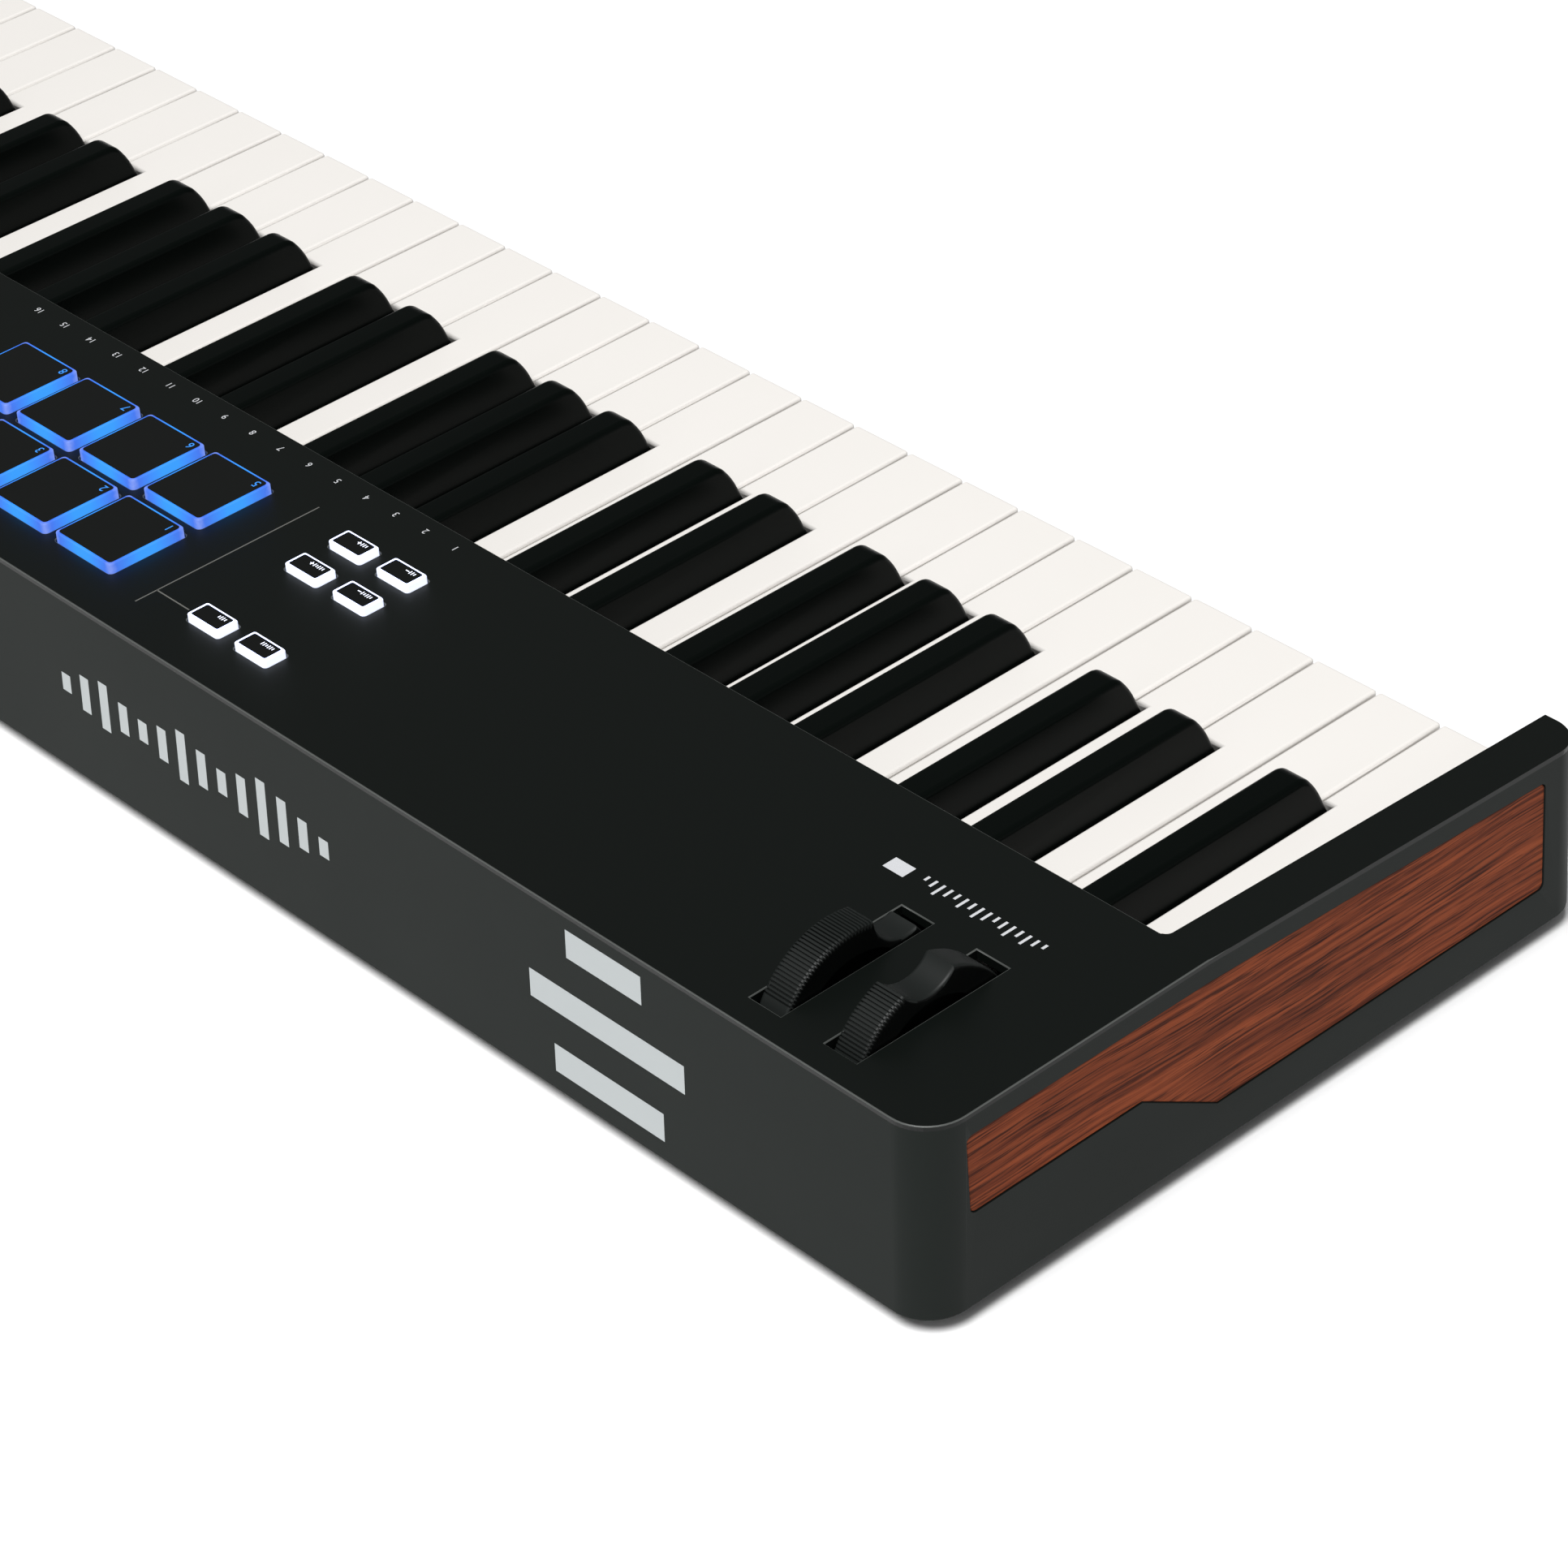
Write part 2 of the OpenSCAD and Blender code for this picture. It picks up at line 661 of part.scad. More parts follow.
// Felt strips: one under the keybed's front edge stops the hooks at rest, one on
// top of it stops the pressed keys.
module stop_felts() {
  w = keys_w - 4;
  color([0.55, 0.12, 0.12]) {
    translate([-w / 2, hook_y, frame_z - felt_t]) cube([w, 8, felt_t]);
    translate([-w / 2, hook_y + 1, frame_z + frame_t]) cube([w, 10, felt_t]);
  }
}

// -------------------------------------------------------------- wheels

dimple_r = 11;
dimple_d = 33.3;
rib_from = 19.5;
rib_step = 2.3;
rib_count = 30;
mod_rest = 33;

// The wheel's thumb dimple points up at turn 0. Ribs run on behind it.
module thumb_wheel(turn) {
  scale_r = wheel_r / 28;
  rotate([turn, 0, 0]) rotate([0, 90, 0]) difference() {
    cylinder(h = wheel_w, r = wheel_r, center = true, $fn = 128);
    translate([-dimple_d * scale_r, 0, 0])
      cylinder(h = wheel_w + 2, r = dimple_r * scale_r, center = true);
    for (k = [0:rib_count - 1]) rotate([0, 0, 180 - rib_from - k * rib_step])
      translate([wheel_r, 0, 0]) cube([0.8, 0.5, wheel_w + 2], center = true);
    for (s = [-1, 1]) translate([0, 0, s * wheel_w / 2]) difference() {
      cylinder(h = 4, r = wheel_r * 0.72, center = true);
      cylinder(h = 5, r = axle_r + 3.5, center = true);
    }
    cylinder(h = wheel_w + 2, r = axle_r + run_gap, center = true);
  }
}

module pitch_wheel() {
  color(case_c) translate([pitch_x, wheel_y, wheel_z]) thumb_wheel(0);
}
module mod_wheel() {
  color(case_c) translate([mod_x, wheel_y, wheel_z]) thumb_wheel(mod_rest);
}

// A moulded bracket on the floor with three cheeks and the wheels' axle.
module wheel_bracket() {
  gap = mod_x - pitch_x;
  xs = [pitch_x - gap / 2, (pitch_x + mod_x) / 2, mod_x + gap / 2];
  color([0.2, 0.2, 0.22]) {
    translate([xs[0] - 4, wheel_y - 14, z_floor]) cube([2 * gap + 8, 28, 2.5]);
    for (x = xs) translate([x - 1.5, wheel_y - 9, z_floor])
      cube([3, 18, wheel_z + 7 - z_floor]);
    translate([xs[0] - 1.5, wheel_y, wheel_z]) rotate([0, 90, 0])
      cylinder(h = 2 * gap + 3, r = axle_r);
  }
}

// ------------------------------------------------------- deck controls

pad_r = 1.5;
flange_t = 1.2;
flange_z = z_under - 0.4 - flange_t;
function pad_x(i) = x0 + 356.2 + ((i - 1) % 4) * pad_pitch_x;
function pad_y(i) = y_key + 201 - (i > 4 ? pad_pitch_y : 0);

// A rubber pad: its flange is caught under the deck.
module pad(i) {
  color(blue_c) translate([pad_x(i), pad_y(i), 0]) {
    round_block(pad_w, pad_w, flange_z, z_deck + pad_rise - flange_z, pad_r - 0.3);
    round_block(pad_w + 3, pad_w + 3, flange_z, flange_t, pad_r);
  }
}

module pad_1() { pad(1); }
module pad_2() { pad(2); }
module pad_3() { pad(3); }
module pad_4() { pad(4); }
module pad_5() { pad(5); }
module pad_6() { pad(6); }
module pad_7() { pad(7); }
module pad_8() { pad(8); }

button_x = x0 + 277.4;
button_y = y_key + 159;
far_row_y = y_key + 210.2;
command_x = x0 + 648;
window_x = x0 + 538;

// octave up, octave down, transpose up, transpose down, bank, channel
named_buttons = [[button_x + button_pitch_x, button_y], [button_x, button_y],
  [button_x + button_pitch_x, button_y + button_pitch_y],
  [button_x, button_y + button_pitch_y],
  [button_x + button_pitch_x, far_row_y], [button_x, far_row_y]];
// four under the display, and a block of two columns to the right of the encoder
command_places = concat(
  [for (k = [-1.5:1.5]) [window_x + k * 17.5, button_y]],
  [for (c = [0:2], y = [button_y, button_y + button_pitch_y, far_row_y])
    [command_x + c * button_pitch_x, y]]);

module button_at(p) {
  color([0.9, 0.92, 1]) translate([p[0], p[1], 0]) {
    round_block(button_w, button_d, flange_z, z_deck + button_rise - flange_z, 0.9);
    round_block(button_w + 2, button_d + 2, flange_z, flange_t, 1);
  }
}

module octave_up_button() { button_at(named_buttons[0]); }
module octave_down_button() { button_at(named_buttons[1]); }
module transpose_up_button() { button_at(named_buttons[2]); }
module transpose_down_button() { button_at(named_buttons[3]); }
module bank_button() { button_at(named_buttons[4]); }
module channel_button() { button_at(named_buttons[5]); }
module command_buttons() { for (p = command_places) button_at(p); }

shaft_r = 3;
knob_y = y_key + 210;
fader_y = y_key + 154;
function knob_x(i) = x0 + 756 + (i - 1) * knob_pitch;
encoder_x = x0 + 606;
encoder_y = y_key + 190;
window_t = 1.3;

panel_z = z_under - 5.9;
pot_z = panel_z + board_t;
pot_h = 2.6;
shaft_z = pot_z + 0.6;

// A knob and its shaft, with a pointer groove on top at twelve o'clock.
module knob(x, y, r, rise) {
  translate([x, y, 0]) difference() {
    union() {
      translate([0, 0, shaft_z]) cylinder(h = z_deck + 2 - shaft_z, r = shaft_r);
      translate([0, 0, z_deck + 1]) cylinder(h = 2, r = r);
      translate([0, 0, z_deck + 1]) cylinder(h = rise - 1, r = r - 1);
    }
    translate([-0.5, r * 0.3, z_deck + rise - 0.5]) cube([1, r, 1]);
  }
}

module knob_n(i) { color(black_c) knob(knob_x(i), knob_y, knob_r, knob_rise); }
module knob_1() { knob_n(1); }
module knob_2() { knob_n(2); }
module knob_3() { knob_n(3); }
module knob_4() { knob_n(4); }
module knob_5() { knob_n(5); }
module knob_6() { knob_n(6); }
module knob_7() { knob_n(7); }
module knob_8() { knob_n(8); }
module knob_9() { knob_n(9); }

module main_encoder() {
  color(black_c) knob(encoder_x, encoder_y, encoder_r, knob_rise);
}

// Fader caps on flat stems that run in the slots of the deck.
stem_w = 1.4;
stem_l = 5;
cap_w = 10;
cap_l = 17;
cap_h = 9;
module faders() {
  color(black_c) for (i = [1:9]) translate([knob_x(i), fader_y, 0]) difference() {
    union() {
      translate([-stem_w / 2, -stem_l / 2, shaft_z])
        cube([stem_w, stem_l, z_deck + 2 - shaft_z]);
      translate([-cap_w / 2, -cap_l / 2, z_deck + 1.2]) cube([cap_w, cap_l, cap_h]);
    }
    translate([0, 0, z_deck + 1.2 + cap_h + 8]) rotate([0, 90, 0])
      cylinder(h = cap_w + 2, r = 10, center = true);
  }
}

// The board under the deck carries the switches, potentiometers and pad sensors.
module panel_board() {
  x_l = x0 + 80;
  x_r = -x0 - 80;
  y_f = y_deck + edge_w + 2;
  d = y_rear - 13 - y_f;
  color(board_c) difference() {
    union() {
      translate([x_l, y_f, panel_z]) cube([x_r - x_l, d, board_t]);
      // sensors and switches end just below the pressed pads and buttons
      for (i = [1:8]) translate([pad_x(i), pad_y(i), pot_z - eps])
        linear_extrude(flange_z - travel_gap - pad_travel - pot_z) square(20, center = true);
      for (p = concat(named_buttons, command_places)) translate([p[0], p[1], pot_z - eps])
        linear_extrude(flange_z - travel_gap - button_travel - pot_z) square(4, center = true);
      for (i = [1:9]) {
        translate([knob_x(i) - 5.5, knob_y - 6, pot_z - eps]) cube([11, 12, pot_h]);
        translate([knob_x(i) - 4, fader_y + fader_travel / 2, pot_z - eps])
          translate([0, -fader_travel / 2 - 7, 0]) cube([8, fader_travel + 14, pot_h]);
      }
      translate([encoder_x - 6, encoder_y - 6, pot_z - eps]) cube([12, 12, pot_h]);
    }
    for (i = [1:9]) {
      translate([knob_x(i), knob_y, pot_z]) cylinder(h = 10, r = shaft_r + run_gap);
      translate([knob_x(i), fader_y + fader_travel / 2, pot_z + 5])
        cube([stem_w + 2 * control_gap, fader_travel + stem_l + 4, 10], center = true);
    }
    translate([encoder_x, encoder_y, pot_z]) cylinder(h = 10, r = shaft_r + run_gap);
    for (p = posts) if (p[1] > 0)
      translate([p[0], p[1], 0]) cylinder(h = far, r = post_r + 1);
  }
}

module display_window() {
  color([0.02, 0.02, 0.03]) translate([window_x, encoder_y, 0])
    round_block(window_w, window_d, z_deck - window_t, window_t, 2);
}

module display_module() {
  color([0.15, 0.16, 0.18]) translate([window_x, encoder_y, 0])
    round_block(window_w - 8, window_d - 8, pot_z, 4, 0.8);
}

// ------------------------------------------------------- rear sockets

module main_board() {
  color(board_c) difference() {
    translate([main_x - main_w / 2, y_rear - 56, board_z]) cube([main_w, 50, board_t]);
    for (x = screw_x) translate([x, screw_y, 0]) cylinder(h = far, r = post_r + 1);
  }
}

module pedal_jacks() {
  color([0.12, 0.12, 0.13]) for (x = jack_x) translate([x, 0, socket_z]) difference() {
    union() {
      translate([-9, body_y - jack_depth - 2, -socket_h / 2])
        cube([18, jack_depth + 2, socket_h]);
      translate([0, body_y + wall, 0]) rotate([90, 0, 0])
        cylinder(h = wall + eps, r = collar_r);
    }
    translate([0, body_y + wall + 1, 0]) rotate([90, 0, 0])
      cylinder(h = jack_depth + 1, r = jack_r);
  }
}

din_pin_r = 5;
module midi_socket() {
  color([0.12, 0.12, 0.13]) translate([midi_x, 0, socket_z]) difference() {
    union() {
      translate([-10, body_y - 12, -socket_h / 2]) cube([20, 12, socket_h]);
      translate([0, body_y + wall, 0]) rotate([90, 0, 0])
        cylinder(h = wall + eps, r = din_r);
    }
    for (a = [0, 45, 90, 135, 180])
      translate([din_pin_r * cos(a), body_y + wall + 1, -din_pin_r * sin(a) + 1.5])
        rotate([90, 0, 0]) cylinder(h = 9, r = 0.8);
  }
}

module usb_socket() {
  color(metal_c) translate([usb_x, 0, usb_z]) difference() {
    translate([-usb_w / 2, body_y - 8, -usb_h / 2]) cube([usb_w, 8 + wall - 0.4, usb_h]);
    translate([usb_shell - usb_w / 2, body_y - 6, usb_shell - usb_h / 2])
      cube([usb_w - 2 * usb_shell, 20, usb_h - 2 * usb_shell]);
  }
  color(metal_c) translate([usb_x - 5, body_y - 9, board_z + board_t])
    cube([10, 7, usb_z - board_z - board_t - usb_h / 2 + eps]);
}

bottom_case();
top_case();
left_wood_panel();
right_wood_panel();
feet();
case_screws();
keybed_frame();
pivot_rod();
key_springs();
contact_board();
rubber_domes();
stop_felts();
keys_c();
keys_c_sharp();
keys_d();
keys_d_sharp();
keys_e();
keys_f();
keys_f_sharp();
keys_g();
keys_g_sharp();
keys_a();
keys_a_sharp();
keys_b();
wheel_bracket();
pitch_wheel();
mod_wheel();
panel_board();
main_board();
display_module();
display_window();
usb_socket();
midi_socket();
pedal_jacks();
pad_1();
pad_2();
pad_3();
pad_4();
pad_5();
pad_6();
pad_7();
pad_8();
octave_up_button();
octave_down_button();
transpose_up_button();
transpose_down_button();
bank_button();
channel_button();
command_buttons();
main_encoder();
knob_1();
knob_2();
knob_3();
knob_4();
knob_5();
knob_6();
knob_7();
knob_8();
knob_9();
faders();
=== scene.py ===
"""Looks of a full-size keyboard controller: a slim black case with wood end
panels, 88 keys, two thumb wheels, lit pads and buttons, and a row of knobs."""

from math import asin, cos, pi, radians, sin

import bmesh
import bpy
from mathutils import Matrix, Vector


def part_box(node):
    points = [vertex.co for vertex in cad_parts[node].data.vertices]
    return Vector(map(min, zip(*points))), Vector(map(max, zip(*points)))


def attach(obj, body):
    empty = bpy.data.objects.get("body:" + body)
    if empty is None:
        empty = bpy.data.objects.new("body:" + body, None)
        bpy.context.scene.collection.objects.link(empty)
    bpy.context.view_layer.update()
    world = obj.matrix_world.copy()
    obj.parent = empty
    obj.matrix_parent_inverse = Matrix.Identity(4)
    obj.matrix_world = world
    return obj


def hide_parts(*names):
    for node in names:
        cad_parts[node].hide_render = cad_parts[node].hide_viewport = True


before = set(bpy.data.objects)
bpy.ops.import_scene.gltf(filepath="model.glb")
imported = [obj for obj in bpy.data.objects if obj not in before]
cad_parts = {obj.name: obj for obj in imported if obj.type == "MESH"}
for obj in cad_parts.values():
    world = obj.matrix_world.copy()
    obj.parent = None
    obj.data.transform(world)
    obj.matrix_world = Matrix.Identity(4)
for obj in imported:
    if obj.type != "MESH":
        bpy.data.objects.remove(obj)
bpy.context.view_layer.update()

# ------------------------------------------------------------ floor, light, camera
# The keyboard stands on a plain pale table top. Large soft lights hang over it and
# behind the rear left corner, and the camera looks down at that corner.
MM = 0.001
FLOOR_SIZE = 12.0
FLOOR_COLOUR = (0.93, 0.93, 0.93, 1)
FLOOR_SHADE = (0.9, 0.9, 0.9, 1)
AMBIENT = 0.13
SKY_POWER = 3.75
SKY_SPREAD = radians(32)
SKY_AIM = Vector((0.13, -0.40, -0.91))
LAMP_SIZE = 1.2
CAMERA_PLACE = Vector((-1.3754, 0.7760, 0.8746))
CAMERA_LOOK = Vector((0.62979, -0.52172, -0.57548))
CAMERA_UP = Vector((0.39018, -0.42813, 0.81515))
CAMERA_LENS = 120.64


def add_node(tree, kind, values=None, **settings):
    """A shader node with its settings and the values of its unlinked sockets."""
    made = tree.nodes.new(kind)
    for key, value in settings.items():
        setattr(made, key, value)
    for key, value in (values or {}).items():
        made.inputs[key].default_value = value
    return made


def add_piece(bm, name, body, materials, nodes=(), crease=40):
    """Makes an object of a bmesh that rides on a body and stands for CAD nodes."""
    mesh = bpy.data.meshes.new(name)
    bm.to_mesh(mesh)
    bm.free()
    for material in materials:
        mesh.materials.append(material)
    mesh.shade_smooth()
    mesh.set_sharp_from_angle(angle=radians(crease))
    piece = bpy.data.objects.new(name, mesh)
    bpy.context.scene.collection.objects.link(piece)
    if body is None:
        return piece
    normals = piece.modifiers.new("flat_faces_stay_flat", "WEIGHTED_NORMAL")
    normals.keep_sharp = True
    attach(piece, body)
    if nodes:
        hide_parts(*nodes)
    return piece


def soft_light(name, place, target, size, power):
    """A square lamp that shines from place towards target."""
    lamp = bpy.data.lights.new(name, "AREA")
    lamp.shape = "SQUARE"
    lamp.size = size
    lamp.energy = power
    made = bpy.data.objects.new(name, lamp)
    bpy.context.scene.collection.objects.link(made)
    made.location = place
    aim = Vector(target) - Vector(place)
    made.rotation_euler = aim.to_track_quat("-Z", "Y").to_euler()


floor_paint = bpy.data.materials.new("pale_floor")
floor_paint.use_nodes = True
floor_shader = floor_paint.node_tree.nodes["Principled BSDF"]
floor_shader.inputs["Roughness"].default_value = 0.7
floor_mottle = add_node(
    floor_paint.node_tree, "ShaderNodeTexNoise", {"Scale": 3.0, "Detail": 4.0}
)
floor_mix = add_node(
    floor_paint.node_tree, "ShaderNodeMix", {"A": FLOOR_COLOUR, "B": FLOOR_SHADE},
    data_type="RGBA",
)
floor_paint.node_tree.links.new(floor_mottle.outputs["Fac"], floor_mix.inputs["Factor"])
floor_paint.node_tree.links.new(floor_mix.outputs["Result"], floor_shader.inputs["Base Color"])

bm = bmesh.new()
bmesh.ops.create_grid(bm, x_segments=2, y_segments=2, size=FLOOR_SIZE / 2)
add_piece(bm, "floor", None, [floor_paint])

world = bpy.data.worlds.new("studio")
world.use_nodes = True
world.node_tree.nodes["Background"].inputs["Color"].default_value = (1.0, 1.0, 1.0, 1)
world.node_tree.nodes["Background"].inputs["Strength"].default_value = AMBIENT
bpy.context.scene.world = world

sky = bpy.data.lights.new("even_overhead_light", "SUN")
sky.energy = SKY_POWER
sky.angle = SKY_SPREAD
sky_holder = bpy.data.objects.new("even_overhead_light", sky)
bpy.context.scene.collection.objects.link(sky_holder)
sky_holder.rotation_euler = SKY_AIM.to_track_quat("-Z", "Y").to_euler()
soft_light("over_the_corner", (-1.6, 1.2, 2.0), (-0.35, 0.0, 0.0), LAMP_SIZE, 6)
soft_light("low_at_the_rear", (-0.6, 2.6, 0.9), (-0.3, 0.1, 0.0), LAMP_SIZE, 4)
soft_light("low_at_the_bass_end", (-2.8, -0.6, 0.8), (-0.6, 0.0, 0.0), LAMP_SIZE, 4)

camera_data = bpy.data.cameras.new("camera")
camera_data.lens = CAMERA_LENS
camera_data.sensor_width = 36
camera_data.clip_end = 50
camera = bpy.data.objects.new("camera", camera_data)
bpy.context.scene.collection.objects.link(camera)
camera_side = CAMERA_LOOK.cross(CAMERA_UP).normalized()
camera_top = camera_side.cross(CAMERA_LOOK).normalized()
camera_axes = Matrix((camera_side, camera_top, -CAMERA_LOOK.normalized())).transposed()
camera.matrix_world = Matrix.Translation(CAMERA_PLACE) @ camera_axes.to_4x4()
bpy.context.scene.camera = camera
bpy.context.scene.view_settings.view_transform = "Standard"

# ------------------------------------------------------------------- lower case
# The lower case is one tray of black plastic with a fine satin texture. Its rear
# corners are round, and its upper edge meets the deck's rim in a thin seam.
CASE_COLOUR = (0.0098, 0.0128, 0.0112, 1)
CASE_SHADE = (0.0080, 0.0105, 0.0092, 1)
CASE_ROUND = 0.7 * MM
NEAR = 0.01 * MM


def group_socket(group, name, way, kind="NodeSocketFloat", value=None):
    """A named input or output of a shader group."""
    made = group.interface.new_socket(name=name, in_out=way, socket_type=kind)
    if value is not None:
        made.default_value = value


moulded_grain = bpy.data.node_groups.new("moulded_grain", "ShaderNodeTree")
group_socket(moulded_grain, "Colour", "INPUT", "NodeSocketColor")
group_socket(moulded_grain, "Shade", "INPUT", "NodeSocketColor")
group_socket(moulded_grain, "Patches per metre", "INPUT", value=9.0)
group_socket(moulded_grain, "Grains per metre", "INPUT", value=2600.0)
group_socket(moulded_grain, "Roughness", "INPUT", value=0.5)
group_socket(moulded_grain, "Roughness spread", "INPUT", value=0.06)
group_socket(moulded_grain, "Colour", "OUTPUT", "NodeSocketColor")
group_socket(moulded_grain, "Roughness", "OUTPUT")
group_socket(moulded_grain, "Height", "OUTPUT")
grain_in = add_node(moulded_grain, "NodeGroupInput")
grain_out = add_node(moulded_grain, "NodeGroupOutput")
grain_place = add_node(moulded_grain, "ShaderNodeTexCoord")
patches = add_node(moulded_grain, "ShaderNodeTexNoise", {"Detail": 5.0, "Roughness": 0.6})
grains = add_node(moulded_grain, "ShaderNodeTexNoise", {"Detail": 2.0, "Roughness": 0.5})
patch_mix = add_node(moulded_grain, "ShaderNodeMix", data_type="RGBA")
swing = add_node(moulded_grain, "ShaderNodeMath", {1: 0.5}, operation="SUBTRACT")
rough = add_node(moulded_grain, "ShaderNodeMath", operation="MULTIPLY_ADD")
for start, end in (
    (grain_place.outputs["Object"], patches.inputs["Vector"]),
    (grain_place.outputs["Object"], grains.inputs["Vector"]),
    (grain_in.outputs["Patches per metre"], patches.inputs["Scale"]),
    (grain_in.outputs["Grains per metre"], grains.inputs["Scale"]),
    (patches.outputs["Fac"], patch_mix.inputs["Factor"]),
    (grain_in.outputs["Colour"], patch_mix.inputs["A"]),
    (grain_in.outputs["Shade"], patch_mix.inputs["B"]),
    (patches.outputs["Fac"], swing.inputs[0]),
    (swing.outputs[0], rough.inputs[0]),
    (grain_in.outputs["Roughness spread"], rough.inputs[1]),
    (grain_in.outputs["Roughness"], rough.inputs[2]),
    (patch_mix.outputs["Result"], grain_out.inputs["Colour"]),
    (rough.outputs[0], grain_out.inputs["Roughness"]),
    (grains.outputs["Fac"], grain_out.inputs["Height"]),
):
    moulded_grain.links.new(start, end)


def moulded(name, colour, shade, roughness, spread=0.08, grains=2600.0, relief=0.12, fixed=None):
    """Moulded plastic, rubber or paint: patchy colour and gloss over a fine grain."""
    material = bpy.data.materials.new(name)
    material.use_nodes = True
    tree = material.node_tree
    shader = tree.nodes["Principled BSDF"]
    for key, value in (fixed or {}).items():
        shader.inputs[key].default_value = value
    grain = add_node(tree, "ShaderNodeGroup", node_tree=moulded_grain)
    for key, value in (
        ("Colour", colour),
        ("Shade", shade),
        ("Roughness", roughness),
        ("Roughness spread", spread),
        ("Grains per metre", grains),
    ):
        grain.inputs[key].default_value = value
    bump = add_node(tree, "ShaderNodeBump", {"Strength": relief, "Distance": 0.05 * MM})
    tree.links.new(grain.outputs["Colour"], shader.inputs["Base Color"])
    tree.links.new(grain.outputs["Roughness"], shader.inputs["Roughness"])
    tree.links.new(grain.outputs["Height"], bump.inputs["Height"])
    tree.links.new(bump.outputs["Normal"], shader.inputs["Normal"])
    return material


def merged_copy(node):
    """A CAD node's mesh with its seams merged and each flat face in one piece."""
    bm = bmesh.new()
    bm.from_mesh(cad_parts[node].data)
    bmesh.ops.remove_doubles(bm, verts=bm.verts, dist=0.004 * MM)
    bmesh.ops.dissolve_limit(bm, angle_limit=radians(0.4), verts=bm.verts, edges=bm.edges)
    return bm


def round_edges(bm, wanted, radius, segments=3, least=30, paint=-1):
    """Rounds the sharp outer edges whose two ends both pass the test wanted."""
    edges = [
        edge
        for edge in bm.edges
        if len(edge.link_faces) == 2
        and edge.is_convex
        and edge.calc_face_angle() > radians(least)
        and all(wanted(vert.co) for vert in edge.verts)
    ]
    bmesh.ops.bevel(
        bm, geom=edges, offset=radius, segments=segments, profile=0.5, affect="EDGES",
        material=paint, clamp_overlap=False, loop_slide=True,
    )


case_low, case_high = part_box("bottom_case")
deck_low, deck_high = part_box("top_case")
case_plastic = moulded(
    "case_plastic", CASE_COLOUR, CASE_SHADE, 0.5, fixed={"Specular IOR Level": 0.1}
)

bm = merged_copy("bottom_case")
round_edges(bm, lambda p: p.z < case_low.z + NEAR, CASE_ROUND)
add_piece(bm, "lower_case", "case", [case_plastic], ["bottom_case"])

# ------------------------------------------------------------------------- deck
# The deck is a second moulding, darker and smoother, screwed down on the tray. It
# has a hole for each control and carries the two cheeks beside the keys.
DECK_COLOUR = (0.0028, 0.0042, 0.0034, 1)
DECK_SHADE = (0.0022, 0.0034, 0.0028, 1)
DECK_ROUND = 0.32 * MM
deck_plastic = moulded(
    "deck_plastic", DECK_COLOUR, DECK_SHADE, 0.42, fixed={"Specular IOR Level": 0.24}
)

# The rounded rim of the deck's top edge is painted a much lighter grey than the deck, a painted
# highlight along the edge, with a slightly glossier finish.
deck_rim_painted_highlight = moulded(
    "painted_highlight_rim", (0.075, 0.080, 0.076, 1), (0.062, 0.067, 0.063, 1), 0.34, 0.1, 2600.0, 0.05
)

bm = merged_copy("top_case")
# The rounded top edge takes the lighter rim paint, which is the painted highlight.
round_edges(bm, lambda p: p.z > deck_high.z - NEAR, DECK_ROUND, 3, paint=1)
add_piece(bm, "deck", "case", [deck_plastic, deck_rim_painted_highlight], ["top_case"])

# ------------------------------------------------------------------ wood panels
# Thin panels of reddish brown hardwood, oiled, lie in a shallow pocket of each end
# wall. The grain runs the long way and drops a little towards the player.
WOOD_LIGHT = (0.255, 0.056, 0.017, 1)
WOOD_DARK = (0.080, 0.016, 0.006, 1)
WOOD_EDGE = 0.35 * MM
WOOD_SLOPE = -1.3

wood = bpy.data.materials.new("oiled_wood")
wood.use_nodes = True
tree = wood.node_tree
shader = tree.nodes["Principled BSDF"]
shader.inputs["Specular IOR Level"].default_value = 0.06
place = add_node(tree, "ShaderNodeTexCoord")
turn = add_node(tree, "ShaderNodeMapping", {"Rotation": (radians(WOOD_SLOPE), 0, 0)})
wander = add_node(tree, "ShaderNodeTexNoise", {"Scale": 14.0, "Detail": 2.0})
bend = add_node(
    tree, "ShaderNodeVectorMath", {1: (0.0, 0.0, 0.006)}, operation="MULTIPLY"
)
bent = add_node(tree, "ShaderNodeVectorMath", operation="ADD")
streak = add_node(tree, "ShaderNodeMapping", {"Scale": (1.0, 0.022, 1.0)})
fibres = add_node(
    tree, "ShaderNodeTexNoise", {"Scale": 900.0, "Detail": 6.0, "Roughness": 0.62}
)
pores = add_node(
    tree, "ShaderNodeTexNoise", {"Scale": 1500.0, "Detail": 3.0, "Roughness": 0.7}
)
bands = add_node(tree, "ShaderNodeTexNoise", {"Scale": 160.0, "Detail": 3.0})
fibre_ramp = add_node(tree, "ShaderNodeValToRGB")
fibre_ramp.color_ramp.elements[0].position = 0.36
fibre_ramp.color_ramp.elements[0].color = WOOD_DARK
fibre_ramp.color_ramp.elements[1].position = 0.60
fibre_ramp.color_ramp.elements[1].color = WOOD_LIGHT
band_ramp = add_node(
    tree, "ShaderNodeMapRange", {"From Min": 0.35, "From Max": 0.68, "To Min": 0.8, "To Max": 1.1}
)
pore_ramp = add_node(
    tree, "ShaderNodeMapRange", {"From Min": 0.40, "From Max": 0.46, "To Min": 0.32}
)
depth = add_node(tree, "ShaderNodeMath", operation="MULTIPLY")
stain = add_node(
    tree, "ShaderNodeMix", {"Factor": 1.0}, data_type="RGBA", blend_type="MULTIPLY"
)
gloss = add_node(tree, "ShaderNodeMapRange", {"To Min": 0.62, "To Max": 0.42})
relief = add_node(tree, "ShaderNodeBump", {"Strength": 0.2, "Distance": 0.12 * MM})
